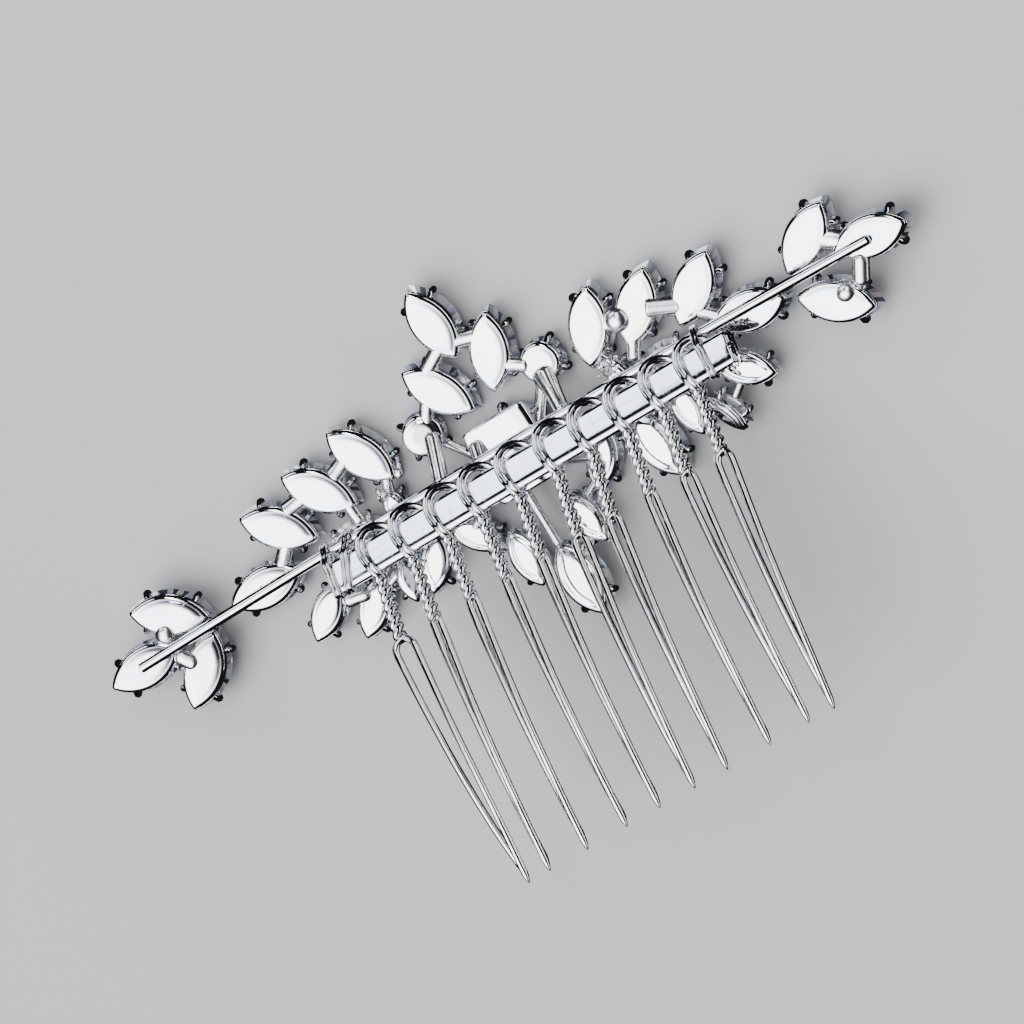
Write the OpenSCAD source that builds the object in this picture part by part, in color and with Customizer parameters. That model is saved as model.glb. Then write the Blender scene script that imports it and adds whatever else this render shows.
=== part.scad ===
// Bridal hair comb: a spray of pronged stones soldered to a long spine wire, with a wire-tooth comb bound to
// that wire. It lies face down: the stones' tables are at z = 0 and the polished backs look up.
// X runs along the comb's bar and Y from the tooth tips to the crest. The layout tables count X and Y from the
// middle of the spine wire, and everything is then moved so that the origin is the middle of the footprint.

/* [Stones] */
// Length of the large marquise stones
marquise_l = 10; // [8:0.5:11]
// Width of the large marquise stones
marquise_w = 5; // [4:0.1:5.2]
// Length of the small marquise stones behind the bar and in the drops
small_l = 8; // [7:0.5:8.5]
// Width of the small marquise stones behind the bar and in the drops
small_w = 4; // [3.4:0.1:4.2]
// Length of the slim marquise stones in the crowded lower rows
slim_l = 6; // [5:0.5:6.5]
// Width of the slim marquise stones in the crowded lower rows
slim_w = 3; // [2.6:0.1:3.2]
// Diameter of the two round stones
round_d = 5; // [4:0.5:5.5]
// Width of the rectangular centre stone
centre_w = 9; // [7:0.5:9.5]
// Height of the rectangular centre stone
centre_h = 9.8; // [8:0.2:10]
// Depth of a marquise or round stone from table to culet
stone_depth = 3; // [2.4:0.1:3.2]
// Depth of the centre stone from table to keel
centre_depth = 4; // [3:0.1:4.2]
// Height of the crown, from table to girdle
crown_h = 0.95; // [0.6:0.05:1.1]
// Size of the table as a share of the girdle
table_share = 0.58; // [0.45:0.01:0.7]
// Cut of the centre stone's corners
corner_cut = 1.2; // [0.6:0.1:2]

/* [Settings] */
// Thickness of the polished back plates
plate_t = 0.9; // [0.6:0.1:1.2]
// Radius of the prongs
prong_r = 0.4; // [0.3:0.05:0.5]
// Distance of the prongs from a marquise stone's middle, as a share of its length
prong_reach = 0.27; // [0.2:0.01:0.32]
// How far the prongs reach past the girdle towards the table
prong_grip = 0.45; // [0.3:0.05:0.6]
// Play between a stone and its prongs and plate
seat_gap = 0.08; // [0.05:0.01:0.15]
// Rise of the spray's outer ends towards the back
end_rise = 2.8; // [2:0.2:3.4]
// Tilt of a setting for each millimetre that it lies above or below the centre stone, in degrees
bowl = 0.4; // [0:0.1:0.6]

/* [Spine wire] */
// Diameter of the spine wire
spine_d = 1.1; // [0.9:0.1:1.3]
// Length of the spine wire
spine_l = 104; // [102:1:106]
// How much lower the ends of the spine wire lie than its middle
spine_drop = 0.7; // [0.4:0.1:1.2]

/* [Comb] */
// Length of the comb's bar
bar_l = 57.4; // [54:0.2:60]
// Width of the bar
bar_w = 3.4; // [3:0.1:3.5]
// Thickness of the bar
bar_t = 1.1; // [0.8:0.1:1.1]
// How far the bar's middle lies to the right of the centre stone
bar_shift = 2.5; // [0:0.1:2.5]
// Turn of the bar's face towards the crest, in degrees
comb_roll = 25; // [20:1:30]
// Diameter of the tooth wire
wire_d = 0.75; // [0.6:0.05:0.8]
// Length of the twist below the bar
twist_l = 7.8; // [6:0.2:9]
// Length of the tines below the twist
tine_l = 33.4; // [28:0.2:40]
// Slope of the teeth towards the back where they leave the bar
root_slope = 26; // [15:1:30]
// Slope of the teeth at their tips
tip_slope = 4; // [0:1:8]

/* [Hidden] */
// Large circles; the small wires and stones set their own number of sides
$fn = 64;
silver = "gainsboro";
rod_silver = "silver";
crystal = "lightblue";

// A row is one setting: its name, the stone's cut, the place of its middle (x, y), the turn of its long axis
// from +Y (to the left is positive), the roll of its back about that axis, and how far it is lifted.
NAME = 0;
CUT = 1;
POS_X = 2;
POS_Y = 3;
TURN = 4;
ROLL = 5;
LIFT = 6;
crest_settings = [
    ["crest", "marquise", 0, 17.1, 6, 0, 1.2],
    ["crest_left", "marquise", -3.8, 9.8, 33, 0, 0.4],
    ["crest_right", "marquise", 4.3, 10.8, -26, 0, 0.5],
    ["round_left", "round", -8.8, 6.2, 0, 0, 0],
    ["round_right", "round", 8.9, 6.5, 0, 0, 0],
    ["centre", "centre", 0, -0.8, 0, 0, 0]
];
wing_settings = [
    ["wing_1_left", "marquise", -16.4, 7.9, 27, 0, 0],
    ["wing_1_right", "marquise", 16.4, 7.3, -29, 0, 0],
    ["wing_2_left", "marquise", -23.1, 6.8, 40, 0, 0.15],
    ["wing_2_right", "marquise", 22.8, 6.4, -43, 0, 0.15],
    ["wing_3_left", "marquise", -29.8, 5.4, 47, 0, 0.15],
    ["wing_3_right", "marquise", 30.1, 4.8, -52, 0, 0.15],
    ["wing_4_left", "marquise", -35, 0, 88, 0, 0],
    ["wing_4_right", "marquise", 34.6, -0.9, -98, 0, 0]
];
end_settings = [
    ["end_1_left", "marquise", -46.5, 3.1, 58, 0, 0],
    ["end_1_right", "marquise", 45.2, 3.2, -57, 0, 0],
    ["end_2_left", "marquise", -52.3, -0.9, 92, 0, 0],
    ["end_2_right", "marquise", 52.3, -0.5, -97, 0, 0],
    ["end_3_left", "marquise", -46.4, -4.8, -46, 0, 0],
    ["end_3_right", "marquise", 44.6, -5.2, 56, 0, 0]
];
middle_settings = [
    ["middle_1_left", "slim", -16.2, 0, 0, 0, 0.1],
    ["middle_1_right", "slim", 16.2, -0.1, 0, 0, 0.1],
    ["middle_2_left", "small", -22.2, 0.3, 90, 0, 0.1],
    ["middle_2_right", "small", 22.2, 0.1, 90, 0, 0.1]
];
lower_settings = [
    ["lower_1_left", "small", -30, -6.4, -51, 0, 0.3],
    ["lower_1_right", "small", 30.4, -6.6, 55, 0, 0.3],
    ["lower_2_left", "small", -24.7, -8.8, -44, 0, 0.3],
    ["lower_2_right", "slim", 26.9, -9.4, 25, -45, 1.2],
    ["lower_3_left", "slim", -19.7, -6.9, -10, 0, 0.3],
    ["lower_3_right", "small", 21.8, -7, 2, 0, 0.3],
    ["lower_4_left", "small", -15.3, -7.8, -35, 0, 0],
    ["lower_4_right", "marquise", 16.1, -8.9, 11, 0, 0],
    ["lower_5_left", "small", -9.3, -7.3, 38, 0, 0],
    ["lower_5_right", "small", 9.2, -7.2, -38, 0, 0]
];
drop_settings = [
    ["drop_left", "small", -4.8, -13, 4, 0, 1.6],
    ["drop_right", "small", 4.2, -12.3, 15, 0, 1.6],
    ["drop", "marquise", 0, -18.4, 5, 0, 2.2]
];
settings = concat(crest_settings, wing_settings, end_settings, middle_settings, lower_settings, drop_settings);

// A row is one soldered rod between two settings: the setting it starts on and where (x, y), the setting it ends
// on and where, its radius, and how far its axis lies above the tops of the two back plates.
ROD_FROM = 0;
FROM_AT = 1;
ROD_TO = 2;
TO_AT = 3;
ROD_R = 4;
ROD_RISE = 5;
rods = [
    ["crest_left", [-4.6, 11.8], "crest", [-0.2, 14.3], 0.7, -0.55],
    ["crest", [0.9, 13.8], "crest_right", [4.8, 12.7], 0.75, -0.55],
    ["crest_left", [-5, 10.2], "round_left", [-7.4, 6.8], 0.7, -0.55],
    ["crest_right", [4.4, 9.2], "round_right", [7.6, 7.2], 0.8, 0.1],
    ["round_left", [-7.2, 5.4], "centre", [-4, 3.4], 0.5, -0.4],
    ["round_right", [7, 5.4], "centre", [4, 3.4], 0.6, -0.4],
    ["wing_2_left", [-21, 7], "wing_1_left", [-17.2, 8.7], 0.9, -0.45],
    ["wing_3_left", [-28.2, 6.4], "wing_2_left", [-24.4, 7], 0.9, -0.55],
    ["wing_3_left", [-29.2, 3.9], "wing_4_left", [-32, 0.9], 0.8, -0.5],
    ["wing_1_right", [17.6, 6.4], "wing_2_right", [21.4, 5.6], 0.85, -0.4],
    ["wing_2_right", [23.4, 5.4], "wing_3_right", [27.3, 4.1], 0.65, 0.35],
    ["wing_3_right", [28, 3.2], "wing_4_right", [31, -0.2], 0.7, -0.5],
    ["end_1_left", [-47.6, 2.6], "end_2_left", [-49.4, 0.2], 0.8, -0.3],
    ["end_2_left", [-49.2, -1], "end_3_left", [-47.2, -3.8], 0.8, -0.5],
    ["end_1_right", [46.4, 2.8], "end_2_right", [50.2, 0], 0.7, -0.4],
    ["end_2_right", [49.6, -1.2], "end_3_right", [45.9, -4.4], 0.85, 0],
    ["wing_1_left", [-14.8, 4.8], "middle_1_left", [-16.1, 1.6], 0.7, -0.5],
    ["wing_1_right", [14.8, 4.4], "middle_1_right", [16.1, 1.5], 0.7, -0.5],
    ["wing_2_left", [-20.8, 4.6], "middle_2_left", [-20.6, 0.9], 0.7, 0.3],
    ["wing_2_right", [21.4, 5], "middle_2_right", [19.4, 0.7], 0.75, 0.3],
    ["middle_2_left", [-24.6, -0.2], "lower_1_left", [-28.4, -5.2], 0.7, -0.4],
    ["middle_2_right", [24.6, -0.2], "lower_1_right", [28.6, -5.4], 0.7, -0.4],
    ["lower_1_left", [-28.8, -6.2], "lower_2_left", [-24, -7.6], 0.85, 0.3],
    ["lower_1_right", [29.4, -7.2], "lower_2_right", [26, -9.6], 0.55, -0.3],
    ["lower_2_left", [-23.4, -7.9], "lower_3_left", [-20, -6.6], 0.6, -0.4],
    ["lower_2_right", [25.2, -10], "lower_3_right", [22.6, -7.8], 0.45, 0],
    ["middle_2_left", [-21, -0.6], "lower_3_left", [-19.8, -5.4], 0.6, -0.4],
    ["middle_2_right", [22, -0.6], "lower_3_right", [21.8, -5], 0.6, -0.4],
    ["middle_1_left", [-16.2, -1.4], "lower_4_left", [-15, -6.6], 0.6, -0.4],
    ["middle_1_right", [16.2, -1.5], "lower_4_right", [15.5, -6.4], 0.6, -0.4],
    ["lower_5_left", [-9.2, -6.8], "centre", [-4, -4], 0.7, -0.4],
    ["lower_5_right", [9, -6.8], "centre", [4, -4], 0.7, -0.4],
    ["lower_5_left", [-8.2, -8.8], "drop_left", [-5.2, -11.6], 0.5, -0.2],
    ["lower_5_right", [7.6, -8.6], "drop_right", [3.9, -10.9], 0.6, 0.1],
    ["centre", [-2, -5.2], "drop", [-1, -15.6], 0.35, -0.3],
    ["centre", [0.8, -5.2], "drop", [0.7, -14.8], 0.35, -0.3]
];

// A row is one post that carries the spine wire: the setting it stands on and where (x, y), the place where it
// reaches the wire (x), and its radius.
POST_ON = 0;
POST_AT = 1;
POST_X = 2;
POST_R = 3;
posts = [
    ["round_left", [-8, 5.4], -9.2, 0.85],
    ["round_right", [8.4, 5.2], 8, 0.95],
    ["centre", [-3.8, 2], -4.2, 0.75],
    ["wing_4_left", [-35, 0], -35, 0.55],
    ["wing_4_right", [34.6, -0.2], 34.6, 0.55],
    ["middle_1_left", [-16.2, 0], -16.2, 0.6],
    ["middle_1_right", [16.2, 0], 16.2, 0.6]
];

// A row is one tooth: the place of its loop (x), the shift of its tip (x), the spread of its tines below the
// twist, and how much shorter its second tine is.
TOOTH_X = 0;
TIP_SHIFT = 1;
SPREAD = 2;
SHORTER = 3;
teeth = [
    [-20, -0.9, 0.95, 1.2],
    [-15.7, -2.1, 0.6, 0.6],
    [-10.8, -1.4, 0.7, 0.9],
    [-5.8, -0.8, 0.5, 0.5],
    [-0.7, -1.2, 0.5, 0.8],
    [4.5, -1.4, 0.6, 0.4],
    [9.4, -1.6, 0.6, 0.9],
    [14.6, -0.6, 0.5, 0.6],
    [19.8, -0.3, 0.65, 1],
    [24.7, -1.6, 0.55, 0.7]
];

// The loop of a tooth round the bar, from the front of its twist to the back: along the bar (x), across it (y)
// and out of its face (z). It passes between the bar and the spine wire.
loop_route = [
    [0.1, -2.4, 0.84],
    [0.25, -1.3, 1],
    [0.5, 0.5, 1],
    [0.9, 1.8, 1.08],
    [1.6, 2.9, 0.8],
    [2.4, 3.37, 0.25],
    [3.2, 3, -0.3],
    [3.9, 1.9, -1],
    [3.3, 0.6, -1],
    [1.8, -0.9, -1],
    [0.5, -2.3, -0.9]
];
// The depth below the bar's middle at which a twist starts
twist_top = 2.9;
// Turns of the two strands round each other, ending side by side
twist_turns = 2.25;
// Rings of the sweep for each turn of a twist
rings_per_turn = 8;
// Sides of a swept wire
wire_sides = 6;

// A row is one place along a tine: how far down it lies, as a share of its length, how much of the spread it
// has, and its thickness as a share of the wire's.
tine_rows = [[0.05, 0.75, 1], [0.1, 1, 1], [0.2, 0.85, 1], [0.36, 0.45, 1], [0.55, 0.12, 1], [0.78, 0.03, 1],
             [0.94, 0, 0.9], [0.985, -0.04, 0.5], [1, -0.06, 0.16]];

// Thin wire wound round the bar and the spine wire near the bar's ends
binding_d = 0.42;
// One turn of a binding: across the bar (y) and out of its face (z)
binding_route = [[-2.15, 0], [-1.9, 0.9], [0, 0.88], [1.75, 0.9], [3.1, 0.2], [4.1, -0.15], [4.65, -0.95],
                 [4.2, -1.9], [3.2, -2], [1.75, -1.05], [0, -0.88], [-1.9, -0.85]];
// A row is one binding: its name, where it starts (x), how far it travels along the bar, and its turns
START = 1;
TRAVEL = 2;
TURNS = 3;
bindings = [["binding_left", -25.6, 1.9, 2], ["binding_right", 29.35, 1.15, 2]];

plate_top = stone_depth + seat_gap + plate_t;
// The ends of the spine wire lie on the two outermost plates
end_x = 52.5;
bend_r = (end_x * end_x + end_rise * end_rise) / (2 * end_rise);
// How far a soldered wire or post sinks into what carries it
solder_sink = 0.2;
spine_z = plate_top + end_rise + spine_d / 2 - solder_sink;
// The line along which the settings lie flat
bowl_y = -0.8;
// Place of the bar's middle, seen from the spine wire: below it, and nearer to the back by the loops' clearance
bar_y = -3;
bar_z = spine_z + 2.5;
wire_r = wire_d / 2;
// Distance of a strand from the middle of its twist, with a little play
strand_r = wire_r + 0.04;
tooth_l = twist_l + tine_l;
tooth_bend_r = tooth_l / ((root_slope - tip_slope) * PI / 180);
// Middle of the footprint, seen from the spine wire
foot_y = -11.635;

tooth_names = [for (i = [0:len(teeth) - 1]) str("tooth_", i < 9 ? "0" : "", i + 1)];

// Height of the curved spray at a place along the bar
function rise_at(x) = bend_r - sqrt(bend_r * bend_r - x * x);
// Radius of the two arcs of a marquise outline
function arc_r(l, w) = (l * l + w * w) / (4 * w);

// Length, width and depth of each cut
cuts = [["marquise", marquise_l, marquise_w, stone_depth], ["small", small_l, small_w, stone_depth - 0.6],
        ["slim", slim_l, slim_w, stone_depth - 1], ["round", round_d, round_d, stone_depth],
        ["centre", centre_h, centre_w, centre_depth]];
function size(cut) = [for (c = cuts) if (c[0] == cut) c][0];
function stone_l(cut) = size(cut)[1];
function stone_w(cut) = size(cut)[2];
function depth(cut) = size(cut)[3];

// Outlines of the cuts, anticlockwise, long axis along Y
function marquise_side(l, w, steps, side) =
    let (r = arc_r(l, w), half = asin(l / 2 / r))
    [for (i = [0:steps - 1]) let (a = -half + 2 * half * i / steps) side * [r * cos(a) - r + w / 2, r * sin(a)]];
function outline(cut) =
    cut == "round" ? [for (i = [0:11]) round_d / 2 * [cos(30 * i), sin(30 * i)]]
    : cut == "centre" ? let (x = centre_w / 2, y = centre_h / 2, c = corner_cut)
        [[x, c - y], [x, y - c], [x - c, y], [c - x, y], [-x, y - c], [-x, c - y], [c - x, -y], [x - c, -y]]
    : concat(marquise_side(stone_l(cut), stone_w(cut), 6, 1), marquise_side(stone_l(cut), stone_w(cut), 6, -1));

// A ring of a polyhedron: an outline scaled and set at a height
function ring(points, share, z) = [for (p = points) [p[0] * share, p[1] * share, z]];
function sides(n, low, high) = [for (i = [0:n - 1]) for (t = [0:1]) let (j = (i + 1) % n)
    t == 0 ? [low + i, high + i, low + j] : [low + j, high + i, high + j]];

// Place and slopes of a setting in the curved spray
function foot(s) = [s[POS_X], s[POS_Y] - foot_y, rise_at(s[POS_X]) + s[LIFT]];
function tilt(s) = bowl * (s[POS_Y] - bowl_y);
function lean(s) = -asin(s[POS_X] / bend_r);
module at_setting(s) {
    translate(foot(s))
        rotate([tilt(s), lean(s), 0])
            rotate([0, 0, s[TURN]])
                rotate([0, s[ROLL], 0])
                    children();
}

module stone(s) {
    color(crystal)
        at_setting(s)
            cut_stone(s[CUT]);
}

// Table at z = 0, crown, girdle and a pavilion that ends in a small culet
module cut_stone(cut) {
    points = outline(cut);
    n = len(points);
    girdle = 0.12;
    culet = 0.06;
    rings = concat(ring(points, table_share, 0), ring(points, 1, crown_h), ring(points, 1, crown_h + girdle),
                   ring(points, culet, depth(cut)));
    table = [for (i = [0:n - 1]) i];
    bottom = [for (i = [0:n - 1]) 4 * n - 1 - i];
    polyhedron(rings, concat([table], sides(n, 0, n), sides(n, n, 2 * n), sides(n, 2 * n, 3 * n), [bottom]));
}

module marquise_plate(l, w, t) {
    r = arc_r(l, w);
    intersection() {
        translate([w / 2 - r, 0, 0]) cylinder(r = r, h = t);
        translate([r - w / 2, 0, 0]) cylinder(r = r, h = t);
    }
}

// A prong stands outside the girdle and has a foot that runs into the back plate. Its own +X points outwards.
module prong(d) {
    tip = crown_h - prong_grip;
    foot_z = d + seat_gap + plate_t * 0.5;
    rotate_extrude($fn = 24)
        polygon([[0, tip], [prong_r * 0.5, tip], [prong_r, tip + 0.25], [prong_r, foot_z + 0.15], [0, foot_z + 0.15]]);
    translate([0.05, 0, foot_z])
        rotate([0, -90, 0])
            cylinder(r = prong_r * 0.9, h = 1.1, $fn = 24);
}

module marquise_setting(l, w, d) {
    r = arc_r(l, w);
    reach = asin(prong_reach * l / r);
    translate([0, 0, d + seat_gap]) marquise_plate(l, w, plate_t);
    for (side = [0, 180], end = [-1, 1])
        rotate([0, 0, side])
            translate([w / 2 - r, 0, 0])
                rotate([0, 0, end * reach])
                    translate([r + prong_r + seat_gap, 0, 0])
                        prong(d);
}

module round_setting() {
    translate([0, 0, stone_depth + seat_gap]) cylinder(r = round_d / 2, h = plate_t);
    for (a = [45:90:315])
        rotate([0, 0, a])
            translate([round_d / 2 + prong_r + seat_gap, 0, 0])
                prong(stone_depth);
}

module centre_setting() {
    translate([-centre_w / 2, -centre_h / 2, centre_depth + seat_gap])
        cube([centre_w, centre_h, plate_t]);
    for (side = [-1, 1], end = [-1, 1])
        translate([side * (centre_w / 2 + prong_r + seat_gap), end * centre_h * 0.3, 0])
            rotate([0, 0, side > 0 ? 0 : 180])
                prong(centre_depth);
}

// The back and the prongs of one stone, shaped for its cut
module setting(s) {
    at_setting(s)
        if (s[CUT] == "round") round_setting();
        else if (s[CUT] == "centre") centre_setting();
        else marquise_setting(stone_l(s[CUT]), stone_w(s[CUT]), depth(s[CUT]));
}

// A round bar between two points
module bar_between(a, b, r) {
    d = b - a;
    l = norm(d);
    translate(a)
        rotate([0, acos(d[2] / l), atan2(d[1], d[0])])
            cylinder(r = r, h = l, $fn = 32);
}

// The direction a setting's back faces, and the point above a place on its plate's plane
function about_x(v, a) = [v[0], v[1] * cos(a) - v[2] * sin(a), v[1] * sin(a) + v[2] * cos(a)];
function about_y(v, a) = [v[0] * cos(a) + v[2] * sin(a), v[1], v[2] * cos(a) - v[0] * sin(a)];
function facing(s) = about_y(about_x([sin(s[ROLL]) * cos(s[TURN]), sin(s[ROLL]) * sin(s[TURN]), cos(s[ROLL])],
                                     tilt(s)), lean(s));
function named(name) = [for (s = settings) if (s[NAME] == name) s][0];
function on_back(name, p, rise) =
    let (s = named(name), n = facing(s), y = p[1] - foot_y,
         c = foot(s) + n * (depth(s[CUT]) + seat_gap + plate_t + rise))
    [p[0], y, c[2] - (n[0] * (p[0] - c[0]) + n[1] * (y - c[1])) / n[2]];

module link_rods() {
    for (r = rods)
        bar_between(on_back(r[ROD_FROM], r[FROM_AT], r[ROD_RISE]), on_back(r[ROD_TO], r[TO_AT], r[ROD_RISE]), r[ROD_R]);
}

module spine_posts() {
    for (p = posts)
        bar_between(on_back(p[POST_ON], p[POST_AT], -2 * solder_sink), [p[POST_X], -foot_y, spine_z - solder_sink / 2],
                    p[POST_R]);
}

// A wire with a slight bow, whose ends hang down towards the teeth
module spine_wire() {
    r = (spine_l * spine_l / 4 + spine_drop * spine_drop) / (2 * spine_drop);
    half = asin(spine_l / 2 / r);
    translate([0, -foot_y - r, spine_z])
        rotate([0, 0, 90 - half])
            rotate_extrude(angle = 2 * half, $fn = 360)
                translate([r, 0])
                    circle(d = spine_d, $fn = 32);
}

// Everything that is soldered together: the settings, their links, the posts and the spine wire
module spray_frame() {
    color(silver) union() {
        for (s = settings) setting(s);
        link_rods();
        spine_posts();
        spine_wire();
    }
}

// The bar's own frame: its middle, with its face looking up and its plane rolled towards the tooth tips
module at_bar() {
    translate([0, bar_y - foot_y, bar_z])
        rotate([-comb_roll, 0, 0])
            children();
}

module comb_bar() {
    color(rod_silver)
        at_bar()
            translate([bar_shift - bar_l / 2, -bar_w / 2, -bar_t / 2])
                cube([bar_l, bar_w, bar_t]);
}

// Sweeps a round wire along points; scales has one thickness share for each point
function unit(v) = v / norm(v);
function tangents(p) = [for (i = [0:len(p) - 1])
    unit(i == 0 ? p[1] - p[0] : i == len(p) - 1 ? p[i] - p[i - 1] : unit(p[i + 1] - p[i]) + unit(p[i] - p[i - 1]))];
// Normals carried along the route, so that the section never twists
function carried(t, n, i = 0) = let (now = unit(n - (n * t[i]) * t[i]))
    i == len(t) - 1 ? [now] : concat([now], carried(t, now, i + 1));
module wire(points, r, scales, first_normal) {
    t = tangents(points);
    n = carried(t, first_normal);
    k = len(points);
    corners = [for (i = [0:k - 1]) let (b = cross(t[i], n[i])) for (j = [0:wire_sides - 1])
        let (a = 360 * j / wire_sides) points[i] + r * scales[i] * (cos(a) * n[i] + sin(a) * b)];
    skin = [for (i = [0:k - 2]) each sides(wire_sides, i * wire_sides, (i + 1) * wire_sides)];
    start = [for (j = [0:wire_sides - 1]) j];
    finish = [for (j = [0:wire_sides - 1]) k * wire_sides - 1 - j];
    polyhedron(corners, concat([start], skin, [finish]));
}

// A point of a tooth in the bar's frame: how far it lies below the bar, and its offsets along and out of the bar
function tooth_slope(s) = root_slope - (root_slope - tip_slope) * min(max(s, 0) / tooth_l, 1);
function tooth_point(s, x, z) =
    let (a0 = root_slope - comb_roll, a = tooth_slope(s) - comb_roll)
    [x, tooth_bend_r * (sin(a) - sin(a0)) - twist_top + z * sin(a), tooth_bend_r * (cos(a) - cos(a0)) + z * cos(a)];

function drift(tooth, s) = tooth[TIP_SHIFT] * s / tooth_l;
// One strand from the top of the twist to the tip; phase 0 starts in front and 180 behind
function strand(tooth, phase, shorter) =
    let (turn_steps = ceil(rings_per_turn * twist_turns), side = phase == 0 ? -1 : 1)
    concat(
        [for (i = [0:turn_steps])
            let (s = twist_l * i / turn_steps, a = phase - 360 * twist_turns * i / turn_steps)
            tooth_point(s, strand_r * sin(a) + drift(tooth, s), strand_r * cos(a))],
        [for (row = tine_rows)
            let (s = twist_l + (tine_l - shorter) * row[0])
            tooth_point(s, side * (strand_r + tooth[SPREAD] * row[1]) + drift(tooth, s), 0)]);
function reversed(list) = [for (i = [len(list) - 1:-1:0]) list[i]];

// One wire: up the first tine and the twist, round the bar, and down again
module tooth(t) {
    down = strand(t, 180, t[SHORTER]);
    up = reversed(strand(t, 0, 0));
    ends = [for (row = tine_rows) row[2]];
    body = [for (i = [1:len(down) - len(ends)]) 1];
    scales = concat(reversed(ends), body, [for (p = loop_route) 1], body, ends);
    color(silver)
        at_bar()
            translate([t[TOOTH_X], 0, 0])
                wire(concat(up, loop_route, down), wire_r, scales, [0, 0, 1]);
}

// Turns of thin wire round the bar and the spine wire
module binding(b) {
    turn_steps = len(binding_route);
    steps = turn_steps * b[TURNS];
    points = [for (i = [0:steps]) let (p = binding_route[i % turn_steps])
        [b[START] + b[TRAVEL] * i / steps, p[0], p[1]]];
    color(silver)
        at_bar()
            wire(points, binding_d / 2, [for (p = points) 1], [1, 0, 0]);
}

spray_frame();
comb_bar();
for (b = bindings) binding(b);
for (i = [0:len(teeth) - 1]) tooth(teeth[i]);
for (s = settings) stone(s);
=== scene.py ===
"""Bridal hair comb, lying face down: polished silver backs, clear stones, a spine wire and a wire-tooth comb.

Sizes are in millimetres and repeat the part's own layout. X and Y in the tables count from the middle of the
spine wire; Spray.foot_y moves them to the frame's origin, and Bench.hand_over turns millimetres into metres.
"""

import logging
import math
import random
from dataclasses import dataclass
from enum import Enum
from typing import Sequence

import bmesh
import bpy
from mathutils import Matrix, Vector


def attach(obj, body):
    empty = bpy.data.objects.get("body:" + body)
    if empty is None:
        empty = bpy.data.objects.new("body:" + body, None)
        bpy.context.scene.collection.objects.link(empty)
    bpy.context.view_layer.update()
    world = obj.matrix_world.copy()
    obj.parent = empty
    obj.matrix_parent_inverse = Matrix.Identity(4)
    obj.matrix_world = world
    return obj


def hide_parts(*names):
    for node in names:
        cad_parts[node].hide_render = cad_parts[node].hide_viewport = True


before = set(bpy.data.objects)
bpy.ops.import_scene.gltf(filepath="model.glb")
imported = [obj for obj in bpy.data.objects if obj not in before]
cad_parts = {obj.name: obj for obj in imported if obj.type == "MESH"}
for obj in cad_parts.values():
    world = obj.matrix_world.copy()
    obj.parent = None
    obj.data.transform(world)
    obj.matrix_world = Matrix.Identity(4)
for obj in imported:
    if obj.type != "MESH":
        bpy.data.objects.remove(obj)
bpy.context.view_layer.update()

MM = 0.001
log = logging.getLogger("hair_comb")

Colour = tuple[float, float, float, float]
Point = tuple[float, float]
Point3 = tuple[float, float, float]
Shape = bmesh.types.BMesh


# Shader expressions


class Value:
    """One output socket of a node tree, used in Python expressions."""

    def __init__(self, bench: "NodeBench", socket: bpy.types.NodeSocket) -> None:
        """Wraps a socket.

        Args:
            bench: The node bench that the socket belongs to.
            socket: The output socket.
        """
        self.bench = bench
        self.socket = socket

    def maths(self, operation: str, other: "Value | float") -> "Value":
        """Adds a Math node that starts from this value.

        Args:
            operation: The node's operation.
            other: Its second input.

        Returns:
            The node's value.
        """
        return self.bench.node("ShaderNodeMath", {"operation": operation}, {0: self, 1: other})

    def __add__(self, other: "Value | float") -> "Value":
        """Sum with a value or number."""
        return self.maths("ADD", other)

    def __mul__(self, other: "Value | float") -> "Value":
        """Product with a value or number."""
        return self.maths("MULTIPLY", other)

    def above(self, limit: float) -> "Value":
        """1 where the value is above a limit, else 0."""
        return self.maths("GREATER_THAN", limit)


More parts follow.
